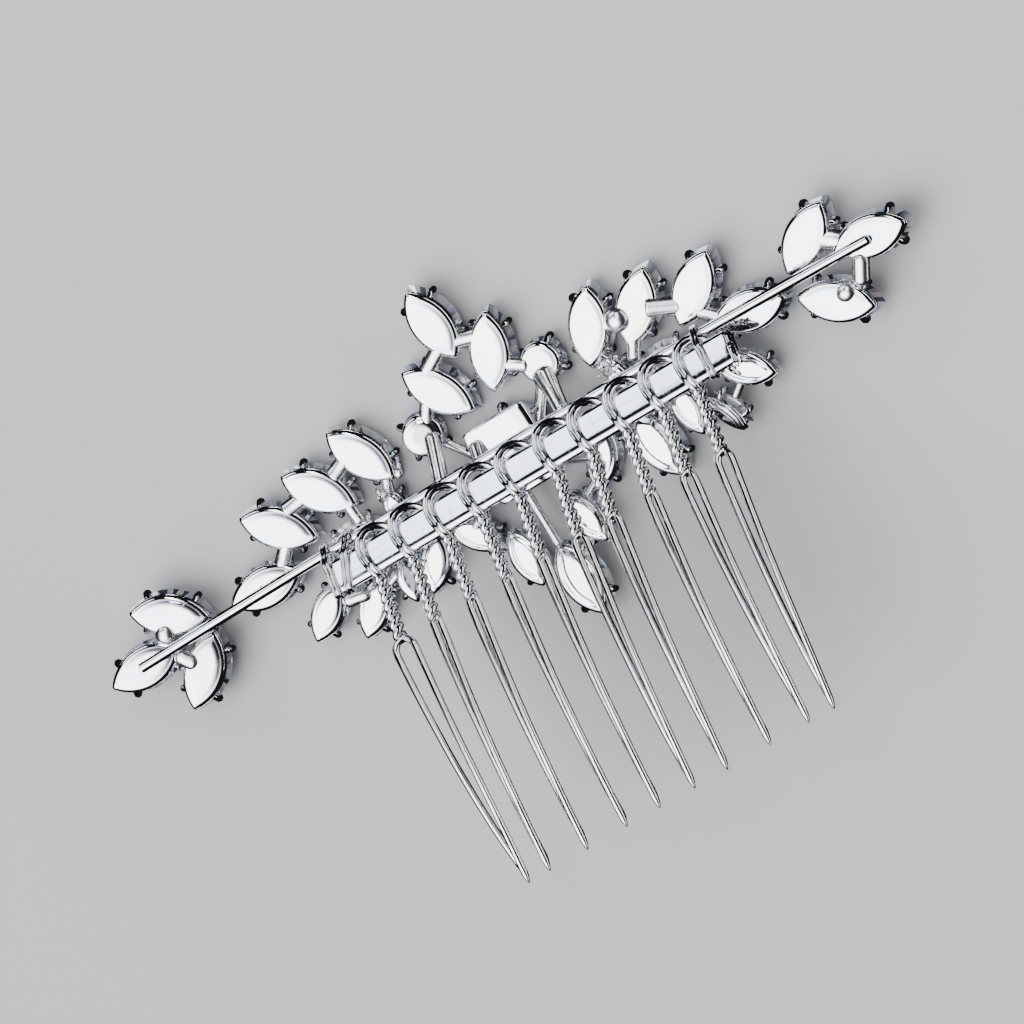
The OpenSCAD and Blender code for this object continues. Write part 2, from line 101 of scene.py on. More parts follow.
class NodeBench:
    """Adds nodes to one node tree."""

    def __init__(self, tree: bpy.types.NodeTree) -> None:
        """Empties the tree.

        Args:
            tree: A material's or the world's node tree.
        """
        self.tree = tree
        tree.nodes.clear()

    def node(
        self,
        kind: str,
        settings: dict | None = None,
        inputs: dict | None = None,
        output: int | str = 0,
    ) -> Value:
        """Adds one node of any kind.

        Args:
            kind: The node's type.
            settings: Its properties, or "stops" for a colour ramp.
            inputs: Numbers, colours or Values for its sockets, by name or place.
            output: The output socket to wrap.

        Returns:
            The chosen output.
        """
        made = self.tree.nodes.new(kind)
        for name, value in (settings or {}).items():
            if name == "stops":
                self.set_stops(made, value)
            else:
                setattr(made, name, value)
        for name, value in (inputs or {}).items():
            if isinstance(value, Value):
                self.tree.links.new(value.socket, made.inputs[name])
            else:
                made.inputs[name].default_value = value
        return Value(self, made.outputs[output]) if made.outputs else Value(self, made.inputs[0])

    def set_stops(self, ramp: bpy.types.Node, stops: Sequence[tuple[float, Colour]]) -> None:
        """Gives a colour ramp its stops.

        Args:
            ramp: The colour ramp node.
            stops: Place and colour of each stop, from low to high.
        """
        elements = ramp.color_ramp.elements
        while len(elements) < len(stops):
            elements.new(1.0)
        for element, (place, colour) in zip(elements, stops):
            element.position = place
            element.color = colour

    def object_place(self, scale: Point3 = (1, 1, 1), turn: float = 0.0) -> Value:
        """Object coordinates, stretched and turned.

        Args:
            scale: Stretch along X, Y and Z.
            turn: Turn about Z in radians.

        Returns:
            The coordinates as a vector.
        """
        place = self.node("ShaderNodeTexCoord", output="Object")
        inputs = {"Vector": place, "Scale": scale, "Rotation": (0, 0, turn)}
        return self.node("ShaderNodeMapping", {}, inputs)

    def noise(self, place: Value, scale: float, detail: float = 3.0, rough: float = 0.5) -> Value:
        """A Noise texture's value.

        Args:
            place: Where it is read.
            scale: Features for each metre.
            detail: Octaves.
            rough: Share of the finer octaves.

        Returns:
            Its value, from 0 to 1.
        """
        inputs = {"Vector": place, "Scale": scale, "Detail": detail, "Roughness": rough}
        return self.node("ShaderNodeTexNoise", {}, inputs)

    def blend(self, share: Value | float, first: Value | Colour, second: Value | Colour) -> Value:
        """Mixes two colours.

        Args:
            share: Share of the second colour.
            first: The first colour.
            second: The second colour.

        Returns:
            The mixed colour.
        """
        return self.node("ShaderNodeMix", {"data_type": "RGBA"}, {0: share, 6: first, 7: second}, output=2)


# Finishes


@dataclass(frozen=True)
class Surface:
    """A named finish; each kind gives its own shader's inputs."""

    name: str

    def inputs(self, bench: NodeBench) -> dict:
        """The inputs of its shader, by name."""
        raise NotImplementedError

    def material(self) -> bpy.types.Material:
        """Builds the material.

        Returns:
            The material.
        """
        made = bpy.data.materials.new(self.name)
        made.use_nodes = True
        bench = NodeBench(made.node_tree)
        shader = bench.node("ShaderNodeBsdfPrincipled", {}, self.inputs(bench))
        bench.node("ShaderNodeOutputMaterial", {}, {"Surface": shader})
        return made


@dataclass(frozen=True)
class SilverFinish(Surface):
    """Polished rhodium-plated silver with faint smears and hairline scratches."""

    tint: Colour = (0.93, 0.935, 0.95, 1)
    deep_tint: Colour = (0.8, 0.81, 0.84, 1)
    roughness: float = 0.03
    smear: float = 0.035
    scratches: float = 0.08
    waviness: float = 0.1
    wave_h: float = 0.0002

    def inputs(self, bench: NodeBench) -> dict:
        """Smears and clouds, with scratches from noise stretched in two directions.

        Args:
            bench: The material's node bench.

        Returns:
            The shader's inputs by name.
        """
        smear = bench.noise(bench.object_place(), 260, 5, 0.6)
        cloud = bench.noise(bench.object_place(), 90, 2)
        across = bench.noise(bench.object_place((60, 2600, 900), 0.5), 1, 2).above(0.63)
        along = bench.noise(bench.object_place((2200, 50, 900), -0.3), 1, 2).above(0.65)
        hairline = across + along
        height = cloud * 0.7 + smear * 0.3 + hairline * 0.02
        relief = {"Strength": self.waviness, "Distance": self.wave_h, "Height": height}
        return {
            "Base Color": bench.blend(smear * cloud, self.tint, self.deep_tint),
            "Metallic": 1.0,
            "Roughness": smear * self.smear + hairline * self.scratches + self.roughness,
            "Normal": bench.node("ShaderNodeBump", {}, relief),
        }


@dataclass(frozen=True)
class CrystalFinish(Surface):
    """Clear cut stone whose facets carry painted light in their base colour: pale blue and white painted
    glints, grey and near-black painted reflections, and now and then painted coloured fire.
    """

    index: float = 1.75
    clear: float = 0.35
    mirror: float = 0.25
    polish: float = 0.005
    dust: float = 0.08
    # Stops of painted light: white and pale blue painted glints, grey and near-black painted reflections,
    # coloured painted fire
    painted_sparkle: tuple[tuple[float, Colour], ...] = (
        (0.0, (1.0, 1.0, 1.0, 1)),
        (0.4, (0.88, 0.93, 1.0, 1)),
        (0.54, (0.5, 0.55, 0.66, 1)),
        (0.65, (0.16, 0.18, 0.24, 1)),
        (0.76, (0.04, 0.04, 0.06, 1)),
        (0.82, (0.8, 0.84, 0.92, 1)),
        (0.9, (0.74, 0.64, 1.0, 1)),
        (0.95, (1.0, 0.8, 0.55, 1)),
        (1.0, (0.55, 0.88, 0.95, 1)),
    )

    def inputs(self, bench: NodeBench) -> dict:
        """A base colour for each facet from its own number, which paints glints, dark reflections and fire,
        with specks of dust.

        Args:
            bench: The material's node bench.

        Returns:
            The shader's inputs by name.
        """
        facet = bench.node("ShaderNodeAttribute", {"attribute_name": StoneCutter.FACET}, output="Fac")
        specks = bench.noise(bench.object_place(), 1400, 3, 0.7).above(0.66)
        return {
            # Each facet's base colour is painted light, picked by its number: a painted glint, a painted dark
            # reflection or painted fire
            "Base Color": bench.node("ShaderNodeValToRGB", {"stops": self.painted_sparkle}, {"Fac": facet}),
            "Roughness": specks * self.dust + self.polish,
            "Metallic": self.mirror,
            "Transmission Weight": self.clear,
            "IOR": self.index,
        }


@dataclass(frozen=True)
class FloorFinish(Surface):
    """Plain pale matt floor."""

    tint: Colour = (0.52, 0.525, 0.535, 1)
    shade: Colour = (0.49, 0.495, 0.505, 1)

    def inputs(self, bench: NodeBench) -> dict:
        """Two close tints in soft clouds."""
        cloud = bench.noise(bench.object_place(), 9, 3)
        return {"Base Color": bench.blend(cloud, self.tint, self.shade), "Roughness": 0.6}


class Finish(Enum):
    """The finishes that the pieces share."""

    BACK = SilverFinish("polished_back")
    ROD = SilverFinish("polished_rod", roughness=0.18, smear=0.08, waviness=0.16)
    WIRE = SilverFinish("drawn_wire", roughness=0.02, smear=0.025, scratches=0.02, waviness=0.02)
    BAR = SilverFinish("rolled_bar", (0.9, 0.915, 0.945, 1), (0.76, 0.78, 0.83, 1), 0.045, waviness=0.14)
    SOLDER = SilverFinish("solder", (0.86, 0.865, 0.88, 1), roughness=0.12, smear=0.2, waviness=0.6)
    CRYSTAL = CrystalFinish("clear_stone")
    FLOOR = FloorFinish("pale_floor")

    def material(self) -> bpy.types.Material:
        """The material of this finish, made once."""
        return bpy.data.materials.get(self.value.name) or self.value.material()


# The spray's shape and its settings


@dataclass(frozen=True)
class Spray:
    """The curve on which the settings stand."""

    end_x: float = 52.5
    end_rise: float = 2.8
    bowl: float = 0.4
    bowl_y: float = -0.8
    foot_y: float = -11.635
    seat_gap: float = 0.08
    plate_t: float = 0.9
    prong_reach: float = 0.29
    crown_h: float = 0.95
    spine_z: float = 7.13
    solder_sink: float = 0.2

    @property
    def bend_r(self) -> float:
        """Radius of the curve along the comb."""
        return (self.end_x**2 + self.end_rise**2) / (2 * self.end_rise)

    def rise_at(self, x: float) -> float:
        """Height of the curve at a place along the comb."""
        return self.bend_r - math.sqrt(self.bend_r**2 - x * x)


SPRAY = Spray()


@dataclass(frozen=True)
class CutSize:
    """Length, width and depth of a cut."""

    length: float
    width: float
    depth: float


class Cut(Enum):
    """The five cuts of stone."""

    MARQUISE = CutSize(10, 5, 3)
    SMALL = CutSize(8, 4, 2.4)
    SLIM = CutSize(6, 3, 2)
    ROUND = CutSize(5, 5, 3)
    CENTRE = CutSize(9.8, 9, 4)

    @property
    def arc_r(self) -> float:
        """Radius of the two arcs of a marquise outline."""
        return (self.value.length**2 + self.value.width**2) / (4 * self.value.width)

    @property
    def pointed(self) -> bool:
        """Whether the outline is a marquise."""
        return self not in (Cut.ROUND, Cut.CENTRE)

    def outline_at(self, share: float) -> Point:
        """A point of a pointed or round outline.

        Args:
            share: How far round the outline, from 0 to 1, anticlockwise.

        Returns:
            The point.
        """
        if self is Cut.ROUND:
            angle = math.tau * share
            return (self.value.width / 2 * math.cos(angle), self.value.width / 2 * math.sin(angle))
        half = math.asin(self.value.length / 2 / self.arc_r)
        side = 1 if share < 0.5 else -1
        angle = -half + 4 * half * (share % 0.5)
        return (
            side * (self.arc_r * math.cos(angle) - self.arc_r + self.value.width / 2),
            side * self.arc_r * math.sin(angle),
        )


@dataclass(frozen=True)
class Setting:
    """Place of one setting in the spray."""

    name: str
    cut: Cut
    x: float
    y: float
    turn: float = 0.0
    roll: float = 0.0
    lift: float = 0.0

    def place(self) -> Matrix:
        """The setting's place.

        Returns:
            Matrix from its own frame to the comb's, in millimetres.
        """
        lean = -math.asin(self.x / SPRAY.bend_r)
        tilt = math.radians(SPRAY.bowl * (self.y - SPRAY.bowl_y))
        foot = Vector((self.x, self.y - SPRAY.foot_y, SPRAY.rise_at(self.x) + self.lift))
        return (
            Matrix.Translation(foot)
            @ Matrix.Rotation(lean, 4, "Y")
            @ Matrix.Rotation(tilt, 4, "X")
            @ Matrix.Rotation(math.radians(self.turn), 4, "Z")
            @ Matrix.Rotation(math.radians(self.roll), 4, "Y")
        )

    def on_back(self, at: Point, rise: float) -> Vector:
        """A point over the back plate.

        Args:
            at: X and Y in the table's count.
            rise: Height over the plate's plane.

        Returns:
            The point in the comb's frame.
        """
        place = self.place()
        up = (place.to_3x3() @ Vector((0, 0, 1))).normalized()
        top = place @ Vector((0, 0, self.cut.value.depth + SPRAY.seat_gap + SPRAY.plate_t)) + up * rise
        x, y = at[0], at[1] - SPRAY.foot_y
        return Vector((x, y, top.z - (up.x * (x - top.x) + up.y * (y - top.y)) / up.z))


# Each row gives the cut, the place, the turn from +Y, the roll of the back and the lift
M, S, T, R = Cut.MARQUISE, Cut.SMALL, Cut.SLIM, Cut.ROUND
SETTINGS = [
    Setting("crest", M, 0, 17.1, 6, 0, 1.2),
    Setting("crest_left", M, -3.8, 9.8, 33, 0, 0.4),
    Setting("crest_right", M, 4.3, 10.8, -26, 0, 0.5),
    Setting("round_left", R, -8.8, 6.2, 0, 7, 0.3),
    Setting("round_right", R, 8.9, 6.5),
    Setting("centre", Cut.CENTRE, 0.25, -1.15),
    Setting("wing_1_left", M, -16.4, 7.9, 27),
    Setting("wing_1_right", M, 16.4, 7.3, -29),
    Setting("wing_2_left", M, -23.1, 6.8, 40, 0, 0.15),
    Setting("wing_2_right", M, 22.8, 6.4, -43, 0, 0.15),
    Setting("wing_3_left", M, -29.8, 5.4, 47, 0, 0.15),
    Setting("wing_3_right", M, 30.1, 4.8, -52, 0, 0.15),
    Setting("wing_4_left", M, -35, 0, 88),
    Setting("wing_4_right", M, 34.6, -0.9, -98),
    Setting("end_1_left", M, -47.1, 3.1, 58),
    Setting("end_1_right", M, 45.2, 3.2, -57),
    Setting("end_2_left", M, -52.9, -0.9, 92),
    Setting("end_2_right", M, 52.3, -0.5, -97),
    Setting("end_3_left", M, -46.9, -4.9, -46),
    Setting("end_3_right", M, 44.6, -5.2, 56),
    Setting("middle_1_left", T, -16.2, 0, 0, 0, 0.1),
    Setting("middle_1_right", T, 16.2, -0.1, 0, 0, 0.1),
    Setting("middle_2_left", S, -22.2, 0.1, 90, -20, 0.45),
    Setting("middle_2_right", S, 22.2, -0.3, 90, -20, 0.45),
    Setting("lower_1_left", S, -30, -6.4, -51, 0, 0.3),
    Setting("lower_1_right", S, 30.4, -6.6, 55, 0, 0.3),
    Setting("lower_2_left", S, -24.7, -8.8, -44, 0, 0.3),
    Setting("lower_2_right", T, 26.9, -9.4, 25, -45, 1.2),
    Setting("lower_3_left", T, -19.7, -7.9, -10, 9, 0.3),
    Setting("lower_3_right", S, 21.8, -7, 2, 0, 0.3),
    Setting("lower_4_left", S, -15.3, -7.8, -35),
    Setting("lower_4_right", M, 16.1, -8.9, 11),
    Setting("lower_5_left", S, -9.3, -7.3, 38),
    Setting("lower_5_right", S, 9.2, -7.2, -38),
    Setting("drop_left", S, -4.8, -13, 4, 0, 1.6),
    Setting("drop_right", S, 4.2, -12.3, 15, 0, 1.6),
    Setting("drop", M, 0, -18.4, 5, 0, 2.2),
]
BY_NAME = {setting.name: setting for setting in SETTINGS}


# The bench on which pieces are made


class Bench:
    """Collects shapes in millimetres and hands them over as one finished object."""

    def __init__(self, name: str, *finishes: Finish) -> None:
        """Starts an empty piece.

        Args:
            name: The piece's name.
            finishes: Its finishes; a shape names one by its place in this row.
        """
        self.name = name
        self.finishes = finishes
        self.bm = bmesh.new()

    def add(self, shape: Shape, place: Matrix | None = None, finish: int = 0) -> None:
        """Adds a shape and frees it.

        Args:
            shape: The shape, in its own frame.
            place: Matrix to the comb's frame.
            finish: Place of its finish in the row.
        """
        if place is not None:
            bmesh.ops.transform(shape, matrix=place, verts=shape.verts)
        for face in shape.faces:
            face.material_index = finish
        carrier = bpy.data.meshes.new("carrier")
        shape.to_mesh(carrier)
        shape.free()
        self.bm.from_mesh(carrier)
        bpy.data.meshes.remove(carrier)

    def hand_over(self, node: str, sharp: float = 40.0, flat: bool = False) -> None:
        """Turns the piece into an object that rides on the comb.

        Args:
            node: The CAD node that it stands for, alone or with other pieces.
            sharp: Edges sharper than this angle, in degrees, stay crisp.
            flat: Whether every face is flat, as a facet is.
        """
        bmesh.ops.transform(self.bm, matrix=Matrix.Scale(MM, 4), verts=self.bm.verts)
        bmesh.ops.recalc_face_normals(self.bm, faces=self.bm.faces)
        mesh = bpy.data.meshes.new(self.name)
        self.bm.to_mesh(mesh)
        self.bm.free()
        if flat:
            mesh.shade_flat()
        else:
            mesh.shade_smooth()
            mesh.set_sharp_from_angle(angle=math.radians(sharp))
        for finish in self.finishes:
            mesh.materials.append(finish.material())
        piece = bpy.data.objects.new(self.name, mesh)
        bpy.context.scene.collection.objects.link(piece)
        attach(piece, "root")
        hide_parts(node)
        log.info("%s: %d faces", self.name, len(mesh.polygons))


class WireBender:
    """Bends round wire along a route."""

    @staticmethod
    def smooth(route: Sequence[Sequence[float]], steps: int) -> list[Vector]:
        """A smooth route through points.

        Args:
            route: The points, with any number of coordinates.
            steps: Points for each stretch.

        Returns:
            The points of the smooth route.
        """
        knots = [Vector(point) for point in route]
        knots = [knots[0] * 2 - knots[1]] + knots + [knots[-1] * 2 - knots[-2]]
        points = []
        for a, b, c, d in zip(knots, knots[1:], knots[2:], knots[3:]):
            for step in range(steps):
                t = step / steps
                bend = (2 * a - 5 * b + 4 * c - d) * t**2 + (3 * b - a - 3 * c + d) * t**3
                points.append(b + ((c - a) * t + bend) / 2)
        points.append(knots[-2])
        return points

    @staticmethod
    def wire(
        points: Sequence[Vector], radius: float, shares: Sequence[float] | None = None, roundness: int = 3
    ) -> Shape:
        """A round wire along points.

        Args:
            points: The route of its middle.
            radius: Its radius.
            shares: Thickness at each point as a share of the radius.
            roundness: Steps of its section; 3 gives 16 sides.

        Returns:
            The wire with closed ends.
        """
        curve = bpy.data.curves.new("wire", "CURVE")
        curve.dimensions = "3D"
        curve.bevel_depth = radius
        curve.bevel_resolution = roundness
        curve.use_fill_caps = True
        curve.resolution_u = 1
        spline = curve.splines.new("POLY")
        spline.points.add(len(points) - 1)
        for place, point in enumerate(points):
            spline.points[place].co = (*point, 1)
            spline.points[place].radius = shares[place] if shares else 1.0
        carrier = bpy.data.objects.new("wire", curve)
        mesh = carrier.to_mesh()
        shape = bmesh.new()
        shape.from_mesh(mesh)
        carrier.to_mesh_clear()
        bpy.data.objects.remove(carrier)
        bpy.data.curves.remove(curve)
        bmesh.ops.remove_doubles(shape, verts=shape.verts, dist=1e-4)
        return shape


# Back plates and prongs


@dataclass
class BackPlate:
    """The polished back of one setting: a rim, a groove and a softly crowned plate.

    The profile's rings are scaled copies of the outline. tip_share and centre_share say how far a ring draws
    in along the length, as a share of how far it does across.
    """

    cut: Cut
    rim_h: float = 0.26
    rim_out: float = 0.06
    rim_foot: float = 0.04
    rim_round: float = 0.06
    groove: float = 0.04
    edge: float = 0.6
    edge_h: float = 0.45
    centre_edge: float = 1.1
    centre_edge_h: float = 0.5
    centre_share: float = 0.12
    edge_steps: int = 8
    crown: float = 0.11
    crown_reach: float = 0.62
    crown_rings: tuple[float, ...] = (0.12, 0.3, 0.5, 0.7, 0.85, 1.0)
    tip_round: float = 0.3
    tip_steps: int = 5
    tip_share: float = 1.5
    corner_round: float = 0.5
    corner_steps: int = 4
    bow: float = 0.12
    bow_cuts: int = 11
    bow_from: float = 0.9
    side_min: float = 2
    segments: int = 72

    def profile(self) -> list[Point]:
        """The plate's section, from the rim to the middle.

        Returns:
            How far each ring lies inside the outline, and its height.
        """
        out, rim, groove, top = self.rim_out, self.rim_h, self.groove, SPRAY.plate_t
        centre = self.cut is Cut.CENTRE
        edge = self.centre_edge if centre else self.edge
        edge_h = self.centre_edge_h if centre else self.edge_h
        rows = [(-out, self.rim_foot), (-out, rim - self.rim_round), (self.rim_foot - out, rim)]
        rows += [(groove, rim), (groove, rim + self.rim_round), (groove / 2, rim + self.rim_round * 1.5)]
        for step in range(self.edge_steps + 1):
            angle = math.pi / 2 * step / self.edge_steps
            rows.append((edge * (1 - math.cos(angle)), top - edge_h * (1 - math.sin(angle))))
        room = self.cut.value.width / 2 * self.crown_reach - edge
        for share in self.crown_rings:
            bulge = math.sin(math.pi / 2 * min(share / self.crown_rings[-2], 1))
            rows.append((edge + room * share, top + self.crown * bulge))
        return rows

    def round_corners(
        self, bm: Shape, corners: list[bmesh.types.BMVert], offset: float, segments: int
    ) -> None:
        """Rounds corners of the outline.

        Args:
            bm: The outline.
            corners: Its corners.
            offset: How far along the sides the rounding starts.
            segments: Its steps.
        """
        bmesh.ops.bevel(
            bm, geom=corners, offset=offset, segments=segments, profile=0.5, affect="VERTICES", material=-1
        )

    def outline(self) -> Shape:
        """The flat outline as one face.

        Returns:
            The face, in the setting's frame at height 0.
        """
        bm = bmesh.new()
        size = self.cut.value
        if self.cut is Cut.ROUND:
            bmesh.ops.create_circle(bm, cap_ends=True, radius=size.width / 2, segments=self.segments)
            return bm
        if self.cut is Cut.CENTRE:
            bmesh.ops.create_grid(bm, x_segments=1, y_segments=1, size=0.5)
            bmesh.ops.scale(bm, vec=(size.width, size.length, 1), verts=bm.verts)
            self.round_corners(bm, bm.verts[:], self.corner_round, self.corner_steps)
            sides = [edge for edge in bm.edges if edge.calc_length() > self.side_min]
            bmesh.ops.subdivide_edges(bm, edges=sides, cuts=self.bow_cuts)
            for vert in bm.verts:
                x, y = vert.co.x / size.width * 2, vert.co.y / size.length * 2
                vert.co.x -= math.copysign(self.bow, x) * (y * y) if abs(x) > self.bow_from else 0
                vert.co.y -= math.copysign(self.bow, y) * (x * x) if abs(y) > self.bow_from else 0
            return bm
        arc_r = self.cut.arc_r
        aside = Matrix.Translation((size.width / 2 - arc_r, 0, 0))
        bmesh.ops.create_circle(bm, cap_ends=True, radius=arc_r, segments=self.segments, matrix=aside)
        whole = bm.verts[:] + bm.edges[:] + bm.faces[:]
        bmesh.ops.bisect_plane(bm, geom=whole, plane_co=(0, 0, 0), plane_no=(1, 0, 0), clear_inner=True)
        whole = bm.verts[:] + bm.edges[:] + bm.faces[:]
        bmesh.ops.mirror(bm, geom=whole, matrix=Matrix.Identity(4), merge_dist=1e-3, axis="X")
        bmesh.ops.remove_doubles(bm, verts=bm.verts, dist=1e-3)
        seam = [edge for edge in bm.edges if all(abs(vert.co.x) < 1e-3 for vert in edge.verts)]
        bmesh.ops.dissolve_edges(bm, edges=seam, use_verts=False)
        tips = [vert for vert in bm.verts if abs(vert.co.x) < 1e-3]
        self.round_corners(bm, tips, self.tip_round, self.tip_steps)
        return bm

    def shape(self) -> Shape:
        """The whole plate, raised ring by ring from its outline.

        Returns:
            The plate in the setting's frame.
        """
        bm = self.outline()
        size = self.cut.value
        lengthwise = {Cut.ROUND: 1.0, Cut.CENTRE: self.centre_share}.get(self.cut, self.tip_share)
        top = bm.faces[:][0]
        inset_was, height_was = 0.0, 0.0
        # Each ring is pulled out of the last one's face, then scaled and raised
        for inset, height in self.profile():
            made = bmesh.ops.extrude_face_region(bm, geom=[top, *top.edges])["geom"]
            verts = [item for item in made if isinstance(item, bmesh.types.BMVert)]
            top = next(item for item in made if isinstance(item, bmesh.types.BMFace))
            narrower = (size.width - 2 * inset) / (size.width - 2 * inset_was)
            shorter = (size.length - 2 * inset * lengthwise) / (size.length - 2 * inset_was * lengthwise)
            bmesh.ops.scale(bm, vec=(narrower, shorter, 1), verts=verts)
            bmesh.ops.translate(bm, vec=(0, 0, height - height_was), verts=verts)
            inset_was, height_was = inset, height
        bmesh.ops.recalc_face_normals(bm, faces=bm.faces)
        bmesh.ops.translate(bm, vec=(0, 0, size.depth + SPRAY.seat_gap), verts=bm.verts)
        return bm


@dataclass
class Prongs:
    """The claws of one setting: four, or five on the rectangular one.

    On the rectangular one they stand side_claws off the middle of each side and end_claw off the middle of an
    end. A point of the route has its way outwards, its height and the thickness; on a small cut the claw is
    small_share as wide and thick.
    """

    cut: Cut
    radius: float = 0.39
    small_share: float = 0.86
    round_turns: tuple[float, ...] = (45, 135, 225, 315)
    side_claws: float = 3
    end_claw: float = -1.2
    steps: int = 4
    route: tuple[Point3, ...] = (
        (-0.55, 3.2, 0.8),
        (-0.2, 2.8, 0.95),
        (0.2, 2.45, 1.05),
        (0.42, 2.1, 1.12),
        (0.54, 1.65, 1.12),
        (0.5, 1.1, 1.05),
        (0.34, 0.64, 0.9),
        (0.1, 0.42, 0.65),
        (-0.14, 0.38, 0.25),
    )

    def places(self) -> list[Matrix]:
        """Where the claws stand.

        Returns:
            Matrix of each claw, whose own +X points outwards.
        """
        size = self.cut.value
        if not self.cut.pointed:
            rows = [(turn, size.width, 0) for turn in self.round_turns]
            if self.cut is Cut.CENTRE:
                sides = (-self.side_claws, self.side_claws)
                rows = [(turn, size.width, aside) for turn in (0, 180) for aside in sides]
                rows += [(90, size.length, self.end_claw)]
            return [
                Matrix.Rotation(math.radians(turn), 4, "Z") @ Matrix.Translation((across / 2, aside, 0))
                for turn, across, aside in rows
            ]
        radius = self.cut.arc_r
        reach = math.asin(SPRAY.prong_reach * size.length / radius)
        return [
            Matrix.Rotation(side, 4, "Z")
            @ Matrix.Translation((size.width / 2 - radius, 0, 0))
            @ Matrix.Rotation(end * reach, 4, "Z")
            @ Matrix.Translation((radius, 0, 0))
            for side in (0, math.pi)
            for end in (-1, 1)
        ]

    def claw(self) -> Shape:
        """One claw: out from under the plate, down past the girdle and over its edge.

        Returns:
            The claw, whose own X counts from the stone's outline.
        """
        size = self.cut.value
        taller = (size.depth + SPRAY.seat_gap) / (Cut.MARQUISE.value.depth + SPRAY.seat_gap)
        share = 1.0 if size.width >= Cut.MARQUISE.value.width else self.small_share
        knots = [(x * share, 0, z * taller, thick) for x, z, thick in self.route]
        points = WireBender.smooth(knots, self.steps)
        shares = [point[3] for point in points]
        return WireBender.wire([point.to_3d() for point in points], self.radius * share, shares, roundness=2)


class StoneCutter:
    """Cuts the stones; every facet carries a number that its colour reads.

    SPREAD is how much a stone reaches past its back plate. TABLE, CROWN, PAVILION and CULET are the sizes of
    its rings as shares of the outline. A ring of the rectangular stone has its share of the width, its share
    of the length and its height.
    """

    FACET = "facet"
    SPREAD = {Cut.MARQUISE: (1.12, 1.06), Cut.SMALL: (1.08, 1.04), Cut.ROUND: (1.08, 1.08)}
    TABLE = 0.56
    CROWN = 0.8
    CROWN_RISE = 0.45
    GIRDLE = 0.12
    PAVILION = 0.62
    PAVILION_RISE = 0.42
    CULET = 0.04
    CORNER_CUT = 1.2
    CENTRE_CROWN = ((0.58, 0.62, 0), (0.8, 0.82, 0.42))
    CENTRE_PAVILION = ((0.78, 0.8, 2.1), (0.46, 0.52, 3.2))
    CENTRE_CULET = (0.02, 0.12)
    FLAT_ANGLE = 0.01

    def rings(self, cut: Cut) -> list[list[Vector]]:
        """Rings of corners from table to culet.

        Args:
            cut: The cut.

        Returns:
            The corners of each ring.
        """
        crown, depth = SPRAY.crown_h, cut.value.depth
        low = crown + self.GIRDLE
        if cut is Cut.CENTRE:
            steps = [*self.CENTRE_CROWN, (1, 1, crown), (1, 1, low)]
            steps += [*self.CENTRE_PAVILION, (*self.CENTRE_CULET, depth)]
            return [[Vector((x * a, y * b, z)) for x, y in self.cut_corners(cut)] for a, b, z in steps]
        sides = 36 if cut.pointed else 24
        half = sides // 2
        return [
            self.ring(cut, 8, 0.0, self.TABLE, 0),
            self.ring(cut, 8, 0.5, self.CROWN, crown * self.CROWN_RISE),
            self.ring(cut, sides, 0.0, 1.0, crown),
            self.ring(cut, sides, 0.0, 1.0, low),
            self.ring(cut, half, 0.5, self.PAVILION, low + (depth - low) * self.PAVILION_RISE),
            self.ring(cut, 4, 0.0, self.CULET, depth),
        ]

    def ring(self, cut: Cut, count: int, shift: float, share: float, height: float) -> list[Vector]:
        """Points on a scaled outline.

        Args:
            cut: The cut.
            count: How many points.
            shift: How far they are shifted, in steps.
            share: Size of the ring as a share of the outline.
            height: Its height.

        Returns:
            The points.
        """
        spots = [cut.outline_at(((step + shift) / count) % 1) for step in range(count)]
        return [Vector((x * share, y * share, height)) for x, y in spots]

    def cut_corners(self, cut: Cut) -> list[Point]:
        """Corners of the rectangular outline with cut corners."""
        x, y, off = cut.value.width / 2, cut.value.length / 2, self.CORNER_CUT
        return [(a * (x - i), b * (y - off + i)) for a in (-1, 1) for b in (-1, 1) for i in (0, off)]

    def shape(self, cut: Cut, seed: str) -> Shape:
        """One cut stone.

        Args:
            cut: The cut.
            seed: A name that fixes its facets' numbers.

        Returns:
            The stone in its setting's frame.
        """
        bm = bmesh.new()
        for ring in self.rings(cut):
            for corner in ring:
                bm.verts.new(corner)
        hull = bmesh.ops.convex_hull(bm, input=bm.verts[:])
        loose = [item for item in hull["geom_interior"] if isinstance(item, bmesh.types.BMVert)]
        bmesh.ops.delete(bm, geom=loose, context="VERTS")
        bmesh.ops.dissolve_limit(bm, angle_limit=self.FLAT_ANGLE, verts=bm.verts[:], edges=bm.edges[:])
        layer = bm.faces.layers.float.new(self.FACET)
        dice = random.Random(seed)
        for face in bm.faces:
            face[layer] = dice.random()
        bmesh.ops.scale(bm, vec=(*self.SPREAD.get(cut, (1, 1)), 1), verts=bm.verts)
        return bm


@dataclass
class StoneSettings:
    """The backs, prongs and stones of the whole spray."""

    crisp: float = 48

    def build(self) -> None:
        """Makes one back with its prongs and one stone for each setting."""
        cutter = StoneCutter()
        for setting in SETTINGS:
            back = Bench(f"setting_{setting.name}", Finish.BACK, Finish.WIRE)
            back.add(BackPlate(setting.cut).shape(), setting.place())
            prongs = Prongs(setting.cut)
            for place in prongs.places():
                back.add(prongs.claw(), setting.place() @ place, 1)
            back.hand_over("spray_frame", sharp=self.crisp)
            stone = Bench(f"crystal_{setting.name}", Finish.CRYSTAL)
            stone.add(cutter.shape(setting.cut, setting.name), setting.place())
            stone.hand_over(f"stone_{setting.name}", flat=True)


# Rods, posts and the spine wire


class Lie(Enum):
    """How a rod meets the two backs that it joins."""

    FLUSH = "both ends level with the backs' surface"
    OVER = "both ends on top of the backs"
    LEVEL = "flush with the first back and level from there on"


